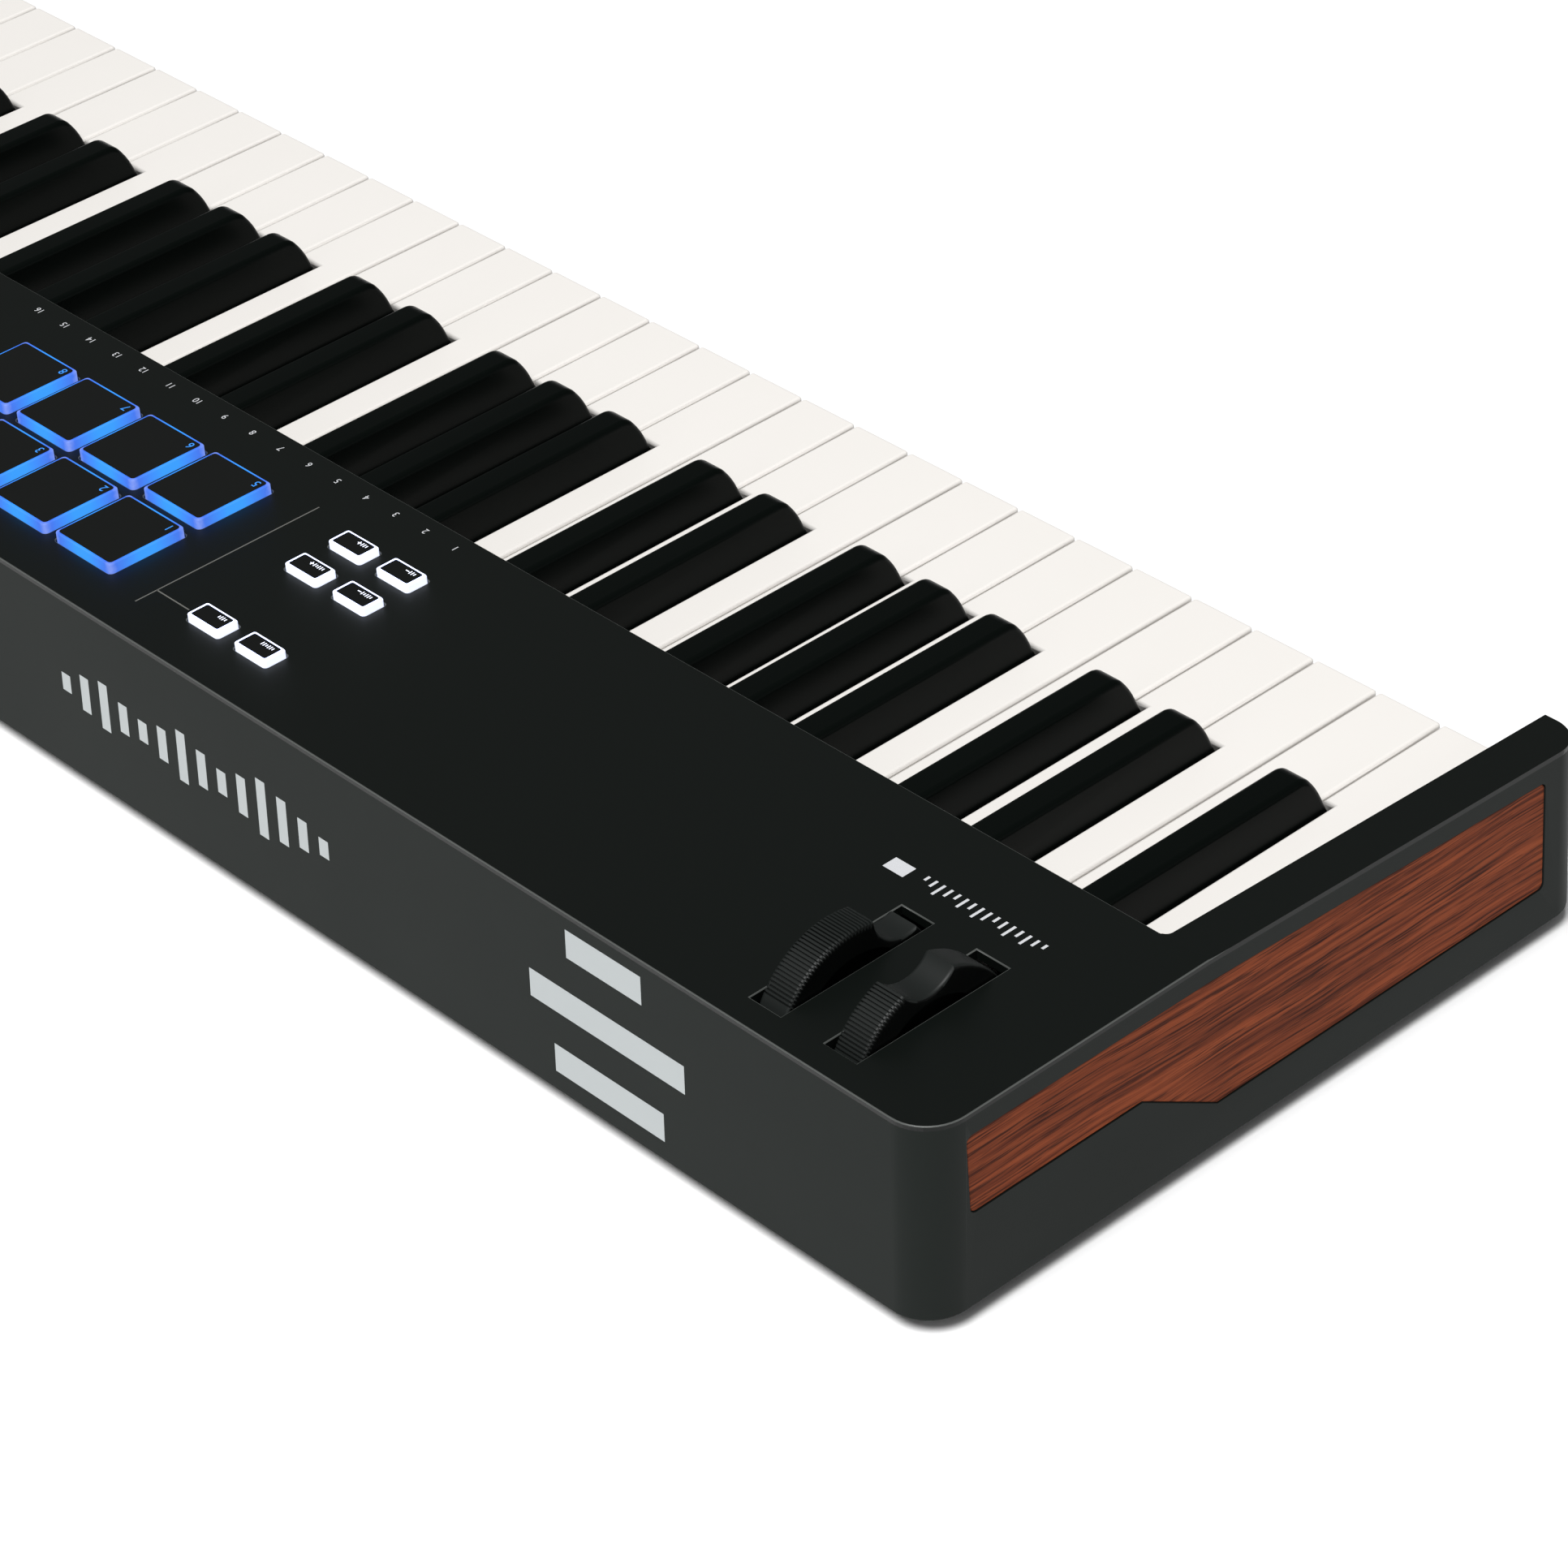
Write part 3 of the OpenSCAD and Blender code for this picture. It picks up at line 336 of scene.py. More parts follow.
for start, end in (
    (place.outputs["Object"], turn.inputs["Vector"]),
    (turn.outputs["Vector"], wander.inputs["Vector"]),
    (wander.outputs["Color"], bend.inputs[0]),
    (turn.outputs["Vector"], bent.inputs[0]),
    (bend.outputs[0], bent.inputs[1]),
    (bent.outputs[0], streak.inputs["Vector"]),
    (streak.outputs["Vector"], fibres.inputs["Vector"]),
    (streak.outputs["Vector"], pores.inputs["Vector"]),
    (streak.outputs["Vector"], bands.inputs["Vector"]),
    (fibres.outputs["Fac"], fibre_ramp.inputs["Fac"]),
    (bands.outputs["Fac"], band_ramp.inputs["Value"]),
    (pores.outputs["Fac"], pore_ramp.inputs["Value"]),
    (band_ramp.outputs["Result"], depth.inputs[0]),
    (pore_ramp.outputs["Result"], depth.inputs[1]),
    (fibre_ramp.outputs["Color"], stain.inputs["A"]),
    (depth.outputs[0], stain.inputs["B"]),
    (stain.outputs["Result"], shader.inputs["Base Color"]),
    (fibres.outputs["Fac"], gloss.inputs["Value"]),
    (gloss.outputs["Result"], shader.inputs["Roughness"]),
    (depth.outputs[0], relief.inputs["Height"]),
    (relief.outputs["Normal"], shader.inputs["Normal"]),
):
    tree.links.new(start, end)

for side in ("left", "right"):
    node = side + "_wood_panel"
    face_x = abs(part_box(node)[0].x) if side == "left" else abs(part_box(node)[1].x)
    bm = merged_copy(node)
    round_edges(bm, lambda p: abs(p.x) > face_x - 0.02 * MM, WOOD_EDGE, 2)
    add_piece(bm, side + "_panel", "case", [wood], [node])

# ------------------------------------------------------------------- white keys
# Each white key is moulded in one piece in satin ivory-white plastic, with a lip
# in front and rounded edges. The keys of one note hang on the rod together.
WHITE_COLOUR = (0.79, 0.765, 0.735, 1)
WHITE_SHADE = (0.765, 0.74, 0.705, 1)
WHITE_ROUND = 1.1 * MM
WHITE_NOTES = ("c", "d", "e", "f", "g", "a", "b")

white_plastic = moulded(
    "white_key_plastic", WHITE_COLOUR, WHITE_SHADE, 0.30, 0.05, 1800.0, 0.03,
    {"Coat Weight": 0.2, "Coat Roughness": 0.2},
)
key_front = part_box("keys_e")[0].y
key_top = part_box("keys_e")[1].z
for note in WHITE_NOTES:
    node = "keys_" + note
    bm = merged_copy(node)
    round_edges(
        bm, lambda p: p.z > key_top - NEAR or p.y < key_front + NEAR, WHITE_ROUND
    )
    add_piece(bm, "white_keys_" + note, node, [white_plastic], [node])

# ------------------------------------------------------------------- black keys
# The black keys are satin plastic with leaning sides and a sloping nose. Their
# long upper edges are well rounded, and the nose swells in a full curve.
BLACK_COLOUR = (0.0018, 0.0029, 0.0024, 1)
BLACK_SHADE = (0.0014, 0.0023, 0.0019, 1)
BLACK_ROUND = 1.7 * MM
BLACK_REACH = 152 * MM
NOSE_SLOPE = radians(62.5)
NOSE_BULGE = 0.8 * MM
NOSE_CUTS = 6
NOSE_EDGE = 2 * MM
BLACK_NOTES = ("c", "d", "f", "g", "a")

black_plastic = moulded(
    "black_key_plastic", BLACK_COLOUR, BLACK_SHADE, 0.3, 0.06, 2200.0, 0.05,
    {"Specular IOR Level": 0.08},
)


def crown_the_nose(bm, foot, top):
    """Turns the flat slope of each nose into a full curve that swells a little."""

    def on_the_slope(p):
        off = (p.y - foot) * sin(NOSE_SLOPE) - (p.z - key_top) * cos(NOSE_SLOPE)
        return abs(off) < 0.03 * MM and p.z > key_top - NEAR

    long_edges = [
        edge
        for edge in bm.edges
        if all(on_the_slope(vert.co) for vert in edge.verts)
        and abs(edge.verts[0].co.z - edge.verts[1].co.z) > NOSE_EDGE
    ]
    bmesh.ops.subdivide_edges(bm, edges=long_edges, cuts=NOSE_CUTS, use_grid_fill=True)
    outward = Vector((0, -sin(NOSE_SLOPE), cos(NOSE_SLOPE)))
    for vert in bm.verts:
        rise = (vert.co.z - key_top) / (top - key_top)
        if 0 < rise < 1 and vert.co.y < foot + (top - key_top):
            vert.co += outward * NOSE_BULGE * sin(pi * rise)


for note in BLACK_NOTES:
    node = "keys_" + note + "_sharp"
    bm = merged_copy(node)
    key_low, key_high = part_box(node)
    crown_the_nose(bm, key_low.y, key_high.z)
    round_edges(
        bm,
        lambda p: p.z > key_top - 0.005 * MM and p.y < deck_low.y + BLACK_REACH,
        BLACK_ROUND,
        4,
    )
    add_piece(
        bm, "black_keys_" + note, node, [black_plastic], [node], crease=50
    )

# ----------------------------------------------------------------- thumb wheels
# Two wheels of soft black rubber stand in slots at the bass end. Each has a thumb
# dimple, fine ribs behind it and rounded rims, and turns on the bracket's axle.
RUBBER_COLOUR = (0.0088, 0.0108, 0.0100, 1)
RUBBER_SHADE = (0.0072, 0.0090, 0.0083, 1)
CORE_COLOUR = (0.0016, 0.0020, 0.0018, 1)
CORE_SHADE = (0.0013, 0.0017, 0.0015, 1)
WHEEL_R = 28.0 * MM
DIMPLE_R = 11.0 * MM
DIMPLE_FROM_AXLE = 33.3 * MM
DIMPLE_SIDE = radians(18.17)
MOD_TILT = radians(33)
RIB_COUNT = 30
RIB_PITCH = radians(2.3)
RIB_START = radians(1.4)
GROOVE_SHARE = 0.45
RIB_DEPTH = 0.9 * MM
TREAD_STEPS = 110
DIMPLE_STEPS = 26
WEB_SEGMENTS = 96
WEB_RINGS = ((20.16, 0.0), (19.9, 2.0), (6.1, 2.0), (6.0, 0.0), (2.6, 0.0))
RIM_STEPS = ((0.0, 1.0), (0.22, 0.45), (0.6, 0.12), (1.1, 0.0))

wheel_rubber = moulded(
    "wheel_rubber", RUBBER_COLOUR, RUBBER_SHADE, 0.5, 0.08, 1500.0, 0.1, {"Specular IOR Level": 0.3}
)
wheel_core = moulded(
    "wheel_core", CORE_COLOUR, CORE_SHADE, 0.4, 0.08, 1500.0, 0.05, {"Specular IOR Level": 0.15}
)


def thumb_wheel(node, name, tilt):
    """A ribbed wheel drawn with a turning pen, its dimple up, and then tilted."""
    low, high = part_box(node)
    half = (high.x - low.x) / 2
    across = Vector((1, 0, 0))
    bm = bmesh.new()

    def sweep(vert, centre, angle, steps):
        swept = bmesh.ops.spin(
            bm, geom=[vert], cent=centre, axis=across, angle=angle, steps=steps
        )
        return [g for g in swept["geom_last"] if isinstance(g, bmesh.types.BMVert)][0]

    def step_in(vert, amount):
        made = bmesh.ops.extrude_vert_indiv(bm, verts=[vert])["verts"][0]
        made.co -= made.co.normalized() * amount
        return made

    start = (0, WHEEL_R * sin(DIMPLE_SIDE), WHEEL_R * cos(DIMPLE_SIDE))
    pen = sweep(bm.verts.new(start), (0, 0, 0), -RIB_START, 1)
    for _ in range(RIB_COUNT):
        pen = step_in(pen, RIB_DEPTH)
        pen = sweep(pen, (0, 0, 0), -RIB_PITCH * GROOVE_SHARE, 1)
        pen = step_in(pen, -RIB_DEPTH)
        pen = sweep(pen, (0, 0, 0), -RIB_PITCH * (1 - GROOVE_SHARE), 1)
    plain = 2 * pi - 2 * DIMPLE_SIDE - RIB_START - RIB_COUNT * RIB_PITCH
    pen = sweep(pen, (0, 0, 0), -plain, TREAD_STEPS)
    dimple = 2 * asin(WHEEL_R * sin(DIMPLE_SIDE) / DIMPLE_R)
    sweep(pen, (0, 0, DIMPLE_FROM_AXLE), dimple, DIMPLE_STEPS)
    bmesh.ops.remove_doubles(bm, verts=bm.verts, dist=NEAR)

    stations = [(x * MM - half, inset) for x, inset in RIM_STEPS]
    stations += [(half - x * MM, inset) for x, inset in reversed(RIM_STEPS)]
    rows = [list(bm.edges)]
    for _ in stations[1:]:
        grown = bmesh.ops.extrude_edge_only(bm, edges=rows[-1])["geom"]
        rows.append([g for g in grown if isinstance(g, bmesh.types.BMEdge)])
    for row, (x, inset) in zip(rows, stations):
        for vert in {v for edge in row for v in edge.verts}:
            vert.co -= vert.co.normalized() * inset * MM
        for vert in {v for edge in row for v in edge.verts}:
            vert.co.x = x
    for row, sense in ((rows[0], -1), (rows[-1], 1)):
        outer = row
        for radius, recess in WEB_RINGS:
            spot = Matrix.Translation((sense * (half - recess * MM), 0, 0))
            ring_verts = bmesh.ops.create_circle(
                bm, segments=WEB_SEGMENTS, radius=radius * MM,
                matrix=spot @ Matrix.Rotation(pi / 2, 4, "Y"),
            )["verts"]
            ring = list({edge for vert in ring_verts for edge in vert.link_edges})
            if outer is row:
                bmesh.ops.triangle_fill(bm, edges=outer + ring, use_beauty=True)
            else:
                bmesh.ops.bridge_loops(bm, edges=outer + ring)
            outer = ring
    bmesh.ops.bridge_loops(bm, edges=[edge for edge in bm.edges if edge.is_boundary])
    bmesh.ops.recalc_face_normals(bm, faces=bm.faces)
    for face in bm.faces:
        face.material_index = 1 if abs(face.normal.x) > 0.9 else 0
    axle = Vector(((low.x + high.x) / 2, WHEEL_AXLE.y, WHEEL_AXLE.z))
    turned = Matrix.Rotation(tilt, 4, "X")
    bmesh.ops.transform(bm, matrix=Matrix.Translation(axle) @ turned, verts=bm.verts)
    add_piece(bm, name, node, [wheel_rubber, wheel_core], [node], crease=35)


mod_low, mod_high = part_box("mod_wheel")
WHEEL_AXLE = Vector((0, (mod_low.y + mod_high.y) / 2, mod_low.z + WHEEL_R))
thumb_wheel("pitch_wheel", "pitch_wheel_tyre", 0.0)
thumb_wheel("mod_wheel", "mod_wheel_tyre", MOD_TILT)

# ------------------------------------------------------------------------- pads
# Eight silicone pads, lit from inside in blue. A matt black cap covers the top and
# leaves a narrow lit rim, with the pad's number in the cap's near left corner.
PAD_FLANGE = 1.5 * MM
PAD_FLANGE_T = 1.2 * MM
PAD_RIM = 0.8 * MM
PAD_CORNER = 1.3 * MM
TOP_SOFTNESS = 0.35 * MM
CAP_LIFT = 0.06 * MM
NUMBER_SIZE = 4.2 * MM
NUMBER_PLACE = (3.1 * MM, 3.2 * MM)
PRINT_LIFT = 0.03 * MM
AZURE = (0.045, 0.34, 1.0, 1)
VIOLET = (0.065, 0.19, 0.82, 1)
PALE = (0.22, 0.32, 0.84, 1)

pad_cap = moulded(
    "pad_cap", (0.0032, 0.0040, 0.0036, 1), (0.0026, 0.0033, 0.0030, 1), 0.5, 0.06, 1400.0, 0.1,
    {"Specular IOR Level": 0.25},
)


def lit(name, middle, outer, corner, strength, base):
    """A lit translucent body whose colour runs from a side's middle to its ends."""
    material = bpy.data.materials.new(name)
    material.use_nodes = True
    tree = material.node_tree
    shader = tree.nodes["Principled BSDF"]
    shader.inputs["Base Color"].default_value = base
    shader.inputs["Roughness"].default_value = 0.4
    shader.inputs["Emission Strength"].default_value = strength
    where = add_node(tree, "ShaderNodeUVMap", uv_map="across_the_top")
    parts = add_node(tree, "ShaderNodeSeparateXYZ")
    along = add_node(tree, "ShaderNodeMath", operation="ABSOLUTE")
    across = add_node(tree, "ShaderNodeMath", operation="ABSOLUTE")
    nearest = add_node(tree, "ShaderNodeMath", operation="MINIMUM")
    spot = add_node(tree, "ShaderNodeTexCoord")
    cloud = add_node(tree, "ShaderNodeTexNoise", {"Scale": 700.0, "Detail": 3.0})
    fleck = add_node(tree, "ShaderNodeMath", {1: 0.16, 2: -0.08}, operation="MULTIPLY_ADD")
    total = add_node(tree, "ShaderNodeMath", operation="ADD")
    ramp = add_node(tree, "ShaderNodeValToRGB")
    ramp.color_ramp.elements[0].position = 0.2
    ramp.color_ramp.elements[0].color = middle
    ramp.color_ramp.elements[1].position = 0.99
    ramp.color_ramp.elements[1].color = corner
    ramp.color_ramp.elements.new(0.82).color = outer
    for start, end in (
        (where.outputs["UV"], parts.inputs[0]),
        (parts.outputs["X"], along.inputs[0]),
        (parts.outputs["Y"], across.inputs[0]),
        (along.outputs[0], nearest.inputs[0]),
        (across.outputs[0], nearest.inputs[1]),
        (spot.outputs["Object"], cloud.inputs["Vector"]),
        (cloud.outputs["Fac"], fleck.inputs[0]),
        (fleck.outputs[0], total.inputs[0]),
        (nearest.outputs[0], total.inputs[1]),
        (total.outputs[0], ramp.inputs["Fac"]),
        (ramp.outputs["Color"], shader.inputs["Emission Color"]),
    ):
        tree.links.new(start, end)
    return material


def add_sign(bm, text, size, x, y, z, index):
    """Adds flat characters, read from the player's side, about the point x, y."""
    curve = bpy.data.curves.new("sign", "FONT")
    curve.body = text
    curve.size = size
    curve.align_x = "CENTER"
    curve.align_y = "CENTER"
    holder = bpy.data.objects.new("sign", curve)
    bpy.context.scene.collection.objects.link(holder)
    ready = holder.evaluated_get(bpy.context.evaluated_depsgraph_get())
    flat = bpy.data.meshes.new_from_object(ready)
    known = set(bm.faces)
    known_verts = set(bm.verts)
    bm.from_mesh(flat)
    bpy.data.objects.remove(holder)
    bpy.data.curves.remove(curve)
    bpy.data.meshes.remove(flat)
    added = [vert for vert in bm.verts if vert not in known_verts]
    bmesh.ops.translate(bm, verts=added, vec=(x, y, z))
    for face in bm.faces:
        if face not in known:
            face.material_index = index
            if face.normal.z < 0:
                face.normal_flip()


def lit_block(bm, low, high, flange, corner, rim, body_index=0, cap_index=1):
    """A lit block: a flange under the deck, upright sides, a rim and a raised cap."""
    cap_map = bm.loops.layers.uv.get("across_the_top")
    if cap_map is None:
        cap_map = bm.loops.layers.uv.new("across_the_top")
    known = set(bm.faces)
    centre = (low + high) / 2
    reach = (high - low) / 2
    grid = bmesh.ops.create_grid(bm, x_segments=1, y_segments=1, size=1.0)["verts"]
    for vert in grid:
        vert.co = (centre.x + vert.co.x * reach.x, centre.y + vert.co.y * reach.y, low.z)
    bmesh.ops.bevel(
        bm, geom=grid, offset=corner, segments=5, profile=0.5, affect="VERTICES", material=-1,
        clamp_overlap=False,
    )
    face = [made for made in bm.faces if made not in known][0]

    def rise(face, height, shrink_x, shrink_y):
        grown = bmesh.ops.extrude_face_region(bm, geom=[face])["geom"]
        top = [g for g in grown if isinstance(g, bmesh.types.BMFace)][0]
        half_x = max(vert.co.x for vert in top.verts) - centre.x
        half_y = max(vert.co.y for vert in top.verts) - centre.y
        for vert in top.verts:
            vert.co.x -= (vert.co.x - centre.x) * shrink_x / half_x
            vert.co.y -= (vert.co.y - centre.y) * shrink_y / half_y
            vert.co.z += height
        return top

    side_h = high.z - low.z - PAD_FLANGE_T - CAP_LIFT
    soft = TOP_SOFTNESS
    face = rise(face, PAD_FLANGE_T, 0, 0)
    face = rise(face, 0, flange, flange)
    face = rise(face, side_h - soft, 0, 0)
    face = rise(face, 0.65 * soft, 0.3 * soft, 0.3 * soft)
    face = rise(face, 0.35 * soft, 0.7 * soft, 0.7 * soft)
    face = rise(face, 0, rim[0] - soft, rim[1] - soft)
    cap = rise(face, CAP_LIFT, 0, 0)
    made = [new for new in bm.faces if new not in known]
    for new in made:
        new.material_index = body_index
        for loop in new.loops:
            loop[cap_map].uv = (
                (loop.vert.co.x - centre.x) / (reach.x - flange),
                (loop.vert.co.y - centre.y) / (reach.y - flange),
            )
    for edge in cap.edges:
        for side in edge.link_faces:
            side.material_index = cap_index
    bmesh.ops.recalc_face_normals(bm, faces=made)


pad_light = lit("pad_light", AZURE, VIOLET, PALE, 1.0, (0.01, 0.03, 0.12, 1))
for number in range(1, 9):
    node = "pad_" + str(number)
    low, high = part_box(node)
    bm = bmesh.new()
    lit_block(bm, low, high, PAD_FLANGE, PAD_CORNER, (PAD_RIM, PAD_RIM))
    add_sign(
        bm, str(number), NUMBER_SIZE, low.x + PAD_FLANGE + NUMBER_PLACE[0],
        low.y + PAD_FLANGE + NUMBER_PLACE[1], high.z + PRINT_LIFT, 0,
    )
    add_piece(bm, "lit_" + node, node, [pad_light, pad_cap], [node], crease=50)

# ---------------------------------------------------------------------- buttons
# Small lit buttons: a milky white body with a black cap let into its top. Strokes
# and a plus or minus on the cap stand for the button's job.
BUTTON_FLANGE = 1.0 * MM
BUTTON_CORNER = 0.9 * MM
BUTTON_RIM = (1.0 * MM, 0.75 * MM)
MILKY = (0.78, 0.82, 0.98, 1)
MILKY_CORNER = (0.60, 0.68, 0.98, 1)
STROKE_ROW = -1.4
LETTER = (0.36, 1.5)
LETTER_STEP = 0.95
LETTERS_FROM = 4.3
SIGN_GAP = 1.3
SIGN_LONG = 1.5 * MM
SIGN_THIN = 0.36 * MM
SHORT_LETTER = 0.72
COMMAND_MARKS = (4, 5, 4, 6, 5, 4, 6, 4, 5, 6, 4, 5, 6)

button_light = lit("button_light", MILKY, MILKY, MILKY_CORNER, 0.85, (0.8, 0.85, 1.0, 1))
button_cap = moulded(
    "button_cap", (0.0025, 0.0032, 0.0028, 1), (0.002, 0.0026, 0.0023, 1), 0.4, 0.05, 1400.0,
    0.06, {"Specular IOR Level": 0.3},
)


def stroke(bm, x, y, z, width, length, index):
    """A flat painted stroke about the point x, y."""
    known = set(bm.faces)
    verts = bmesh.ops.create_grid(bm, x_segments=1, y_segments=1, size=0.5)["verts"]
    for vert in verts:
        vert.co = (x + vert.co.x * width, y + vert.co.y * length, z)
    for face in bm.faces:
        if face not in known:
            face.material_index = index


def button_marks(bm, centre, z, letters, sign):
    """A row of plain strokes of different heights and a plus or minus beside it."""
    y = centre.y + STROKE_ROW * MM
    for n in range(letters):
        x = centre.x + (n * LETTER_STEP - LETTERS_FROM) * MM
        tall = LETTER[1] if n % 3 else SHORT_LETTER * LETTER[1]
        stroke(bm, x, y, z, LETTER[0] * MM, tall * MM, 0)
    x += SIGN_GAP * MM
    if sign:
        stroke(bm, x, y, z, SIGN_LONG, SIGN_THIN, 0)
    if sign > 0:
        stroke(bm, x, y, z, SIGN_THIN, SIGN_LONG, 0)


BUTTONS = (
    ("octave_up_button", 3, 1),
    ("octave_down_button", 3, -1),
    ("transpose_up_button", 5, 1),
    ("transpose_down_button", 5, -1),
    ("bank_button", 4, 0),
    ("channel_button", 6, 0),
)
for node, letters, sign in BUTTONS:
    low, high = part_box(node)
    bm = bmesh.new()
    lit_block(bm, low, high, BUTTON_FLANGE, BUTTON_CORNER, BUTTON_RIM)
    button_marks(bm, (low + high) / 2, high.z + PRINT_LIFT, letters, sign)
    add_piece(bm, "lit_" + node, node, [button_light, button_cap], [node], crease=50)

# The command buttons beside the display share one body and are built the same way.
button_reach = Vector(((high.x - low.x) / 2, (high.y - low.y) / 2, 0))
pattern = merged_copy("command_buttons")
tops = [
    face.calc_center_bounds()
    for face in pattern.faces
    if face.normal.z > 0.99 and face.calc_center_bounds().z > high.z - NEAR
]
pattern.free()
bm = bmesh.new()
for top, letters in zip(tops, COMMAND_MARKS):
    foot = Vector((top.x, top.y, low.z))
    lit_block(
        bm, foot - button_reach, top + button_reach, BUTTON_FLANGE, BUTTON_CORNER, BUTTON_RIM
    )
    button_marks(bm, top, high.z + PRINT_LIFT, letters, 0)
add_piece(
    bm, "lit_command_buttons", "command_buttons", [button_light, button_cap],
    ["command_buttons"], crease=50,
)

# --------------------------------------------------------------- printed marks
# Pale grey ink is printed on the deck: the channel numbers over the keys, and thin
# lines that join the pads to the bank button. A plain mark stands at the bass end.
INK_LIFT = 0.02 * MM
CHANNELS_FROM = 278.0 * MM
CHANNEL_STEP = 13.7 * MM
CHANNEL_LINE = 138.7 * MM
CHANNEL_SIZE = 3.4 * MM
KEYS_SPAN = 611 * MM
PAD_LINE_X = 325.5 * MM
PAD_LINE_Y = (151.4 * MM, 218.5 * MM)
PAD_LINE_W = 0.45 * MM
BRANCH_X = 310.2 * MM
BRANCH_Y = 210.7 * MM
MARK_LEVELS = (2, 3, 4.5, 3, 5, 3.5, 2.5, 4, 5, 3, 4.5, 2.5, 3.5, 5, 3, 2)
MARK_X = -593 * MM
MARK_Y = 45.2 * MM
MARK_STEP = 2.9 * MM
MARK_W = 0.9 * MM
MARK_BOX = (-540.5 * MM, 7.6 * MM, 5.0 * MM)

ink = moulded(
    "pale_ink", (0.60, 0.61, 0.63, 1), (0.55, 0.56, 0.58, 1), 0.5, 0.05, 900.0, 0.02
)
line_ink = moulded(
    "grey_ink", (0.14, 0.14, 0.13, 1), (0.12, 0.12, 0.11, 1), 0.5, 0.05, 900.0, 0.02
)
bm = bmesh.new()
deck_top = deck_high.z + INK_LIFT
for channel in range(1, 17):
    add_sign(
        bm, str(channel), CHANNEL_SIZE,
        CHANNELS_FROM + (channel - 1) * CHANNEL_STEP - KEYS_SPAN,
        key_front + CHANNEL_LINE, deck_top, 0,
    )
stroke(
    bm, PAD_LINE_X - KEYS_SPAN, key_front + sum(PAD_LINE_Y) / 2, deck_top, PAD_LINE_W,
    PAD_LINE_Y[1] - PAD_LINE_Y[0], 1,
)
stroke(
    bm, (PAD_LINE_X + BRANCH_X) / 2 - KEYS_SPAN, key_front + BRANCH_Y, deck_top,
    PAD_LINE_X - BRANCH_X, PAD_LINE_W, 1,
)
for n, level in enumerate(MARK_LEVELS):
    x = MARK_X + n * MARK_STEP
    stroke(bm, x, MARK_Y + level * MM / 2, deck_top, MARK_W, level * MM, 0)
stroke(bm, MARK_BOX[0], MARK_Y + MARK_BOX[2] / 2, deck_top, MARK_BOX[1], MARK_BOX[2], 0)
add_piece(bm, "deck_print", "case", [ink, line_ink])

# The rear wall carries two plain printed figures, a row of level bars and a stack of
# three wide bars, so that the wall's large flat face has its pale marks.
WALL_LEVELS = (6, 10, 15, 19, 13, 8, 12, 17, 11, 7, 10, 16, 12, 6)
WALL_LEVEL_FROM = -386 * MM
WALL_LEVEL_STEP = 9.3 * MM
WALL_LEVEL_W = 4.2 * MM
WALL_LEVEL_Z = 35.8 * MM
WALL_STACK_X = -505.5 * MM
WALL_STACK = ((16, 44), (36, 62), (56, 30))
WALL_STACK_H = 9.0 * MM
FOOT_H = 5 * MM
WALL_LEAN = 3.5 * MM / (deck_high.z - FOOT_H)


def wall_bar(bm, x, z, width, height):
    """A flat bar printed on the leaning rear wall about the point x, z."""
    known = set(bm.faces)
    verts = bmesh.ops.create_grid(bm, x_segments=1, y_segments=1, size=0.5)["verts"]
    for vert in verts:
        high = z + vert.co.y * height
        wall = case_high.y - WALL_LEAN * (high - FOOT_H)
        vert.co = (x - vert.co.x * width, wall + INK_LIFT, high)
    for face in bm.faces:
        if face not in known and face.normal.y < 0:
            face.normal_flip()


wall_ink = moulded(
    "silver_ink", (0.44, 0.47, 0.475, 1), (0.41, 0.44, 0.445, 1), 0.45, 0.05, 900.0, 0.02
)
bm = bmesh.new()
for n, level in enumerate(WALL_LEVELS):
    wall_bar(
        bm, WALL_LEVEL_FROM + n * WALL_LEVEL_STEP, WALL_LEVEL_Z, WALL_LEVEL_W, level * MM
    )
for height, width in WALL_STACK:
    wall_bar(bm, WALL_STACK_X, height * MM, width * MM, WALL_STACK_H)
bm.normal_update()
add_piece(bm, "wall_print", "case", [wall_ink])

# ---------------------------------------------------------------------- display
# A colour display under a flush glossy window, bonded into the deck. It shows a row
# of plain level bars over four blocks.
BAR_COUNT = 16
BAR_STEP = 3.3 * MM
BAR_W = 1.9 * MM
BLOCK_STEP = 13.0 * MM
BLOCK_SIZE = (8 * MM, 4 * MM)
BLOCK_LINE = 9 * MM

glass = moulded(
    "dark_window", (0.006, 0.007, 0.009, 1), (0.005, 0.006, 0.008, 1), 0.1, 0.03, 500.0, 0.01
)
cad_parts["display_window"].material_slots[0].material = glass
screen_light = lit(
    "screen_light", (0.25, 0.6, 0.9, 1), (0.2, 0.5, 0.8, 1), (0.15, 0.4, 0.7, 1), 0.9,
    (0, 0, 0, 1),
)
window_low, window_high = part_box("display_window")
window_mid = (window_low + window_high) / 2
bm = bmesh.new()
bm.loops.layers.uv.new("across_the_top")
for n in range(BAR_COUNT):
    level = (4 + 7 * abs(sin(0.9 * n + 0.6))) * MM
    x = window_mid.x + (n - (BAR_COUNT - 1) / 2) * BAR_STEP
    stroke(bm, x, window_mid.y + level / 2, window_high.z + INK_LIFT, BAR_W, level, 0)
for n in range(4):
    x = window_mid.x + (n - 1.5) * BLOCK_STEP
    stroke(bm, x, window_low.y + BLOCK_LINE, window_high.z + INK_LIFT, *BLOCK_SIZE, 0)
add_piece(bm, "screen_picture", "case", [screen_light])

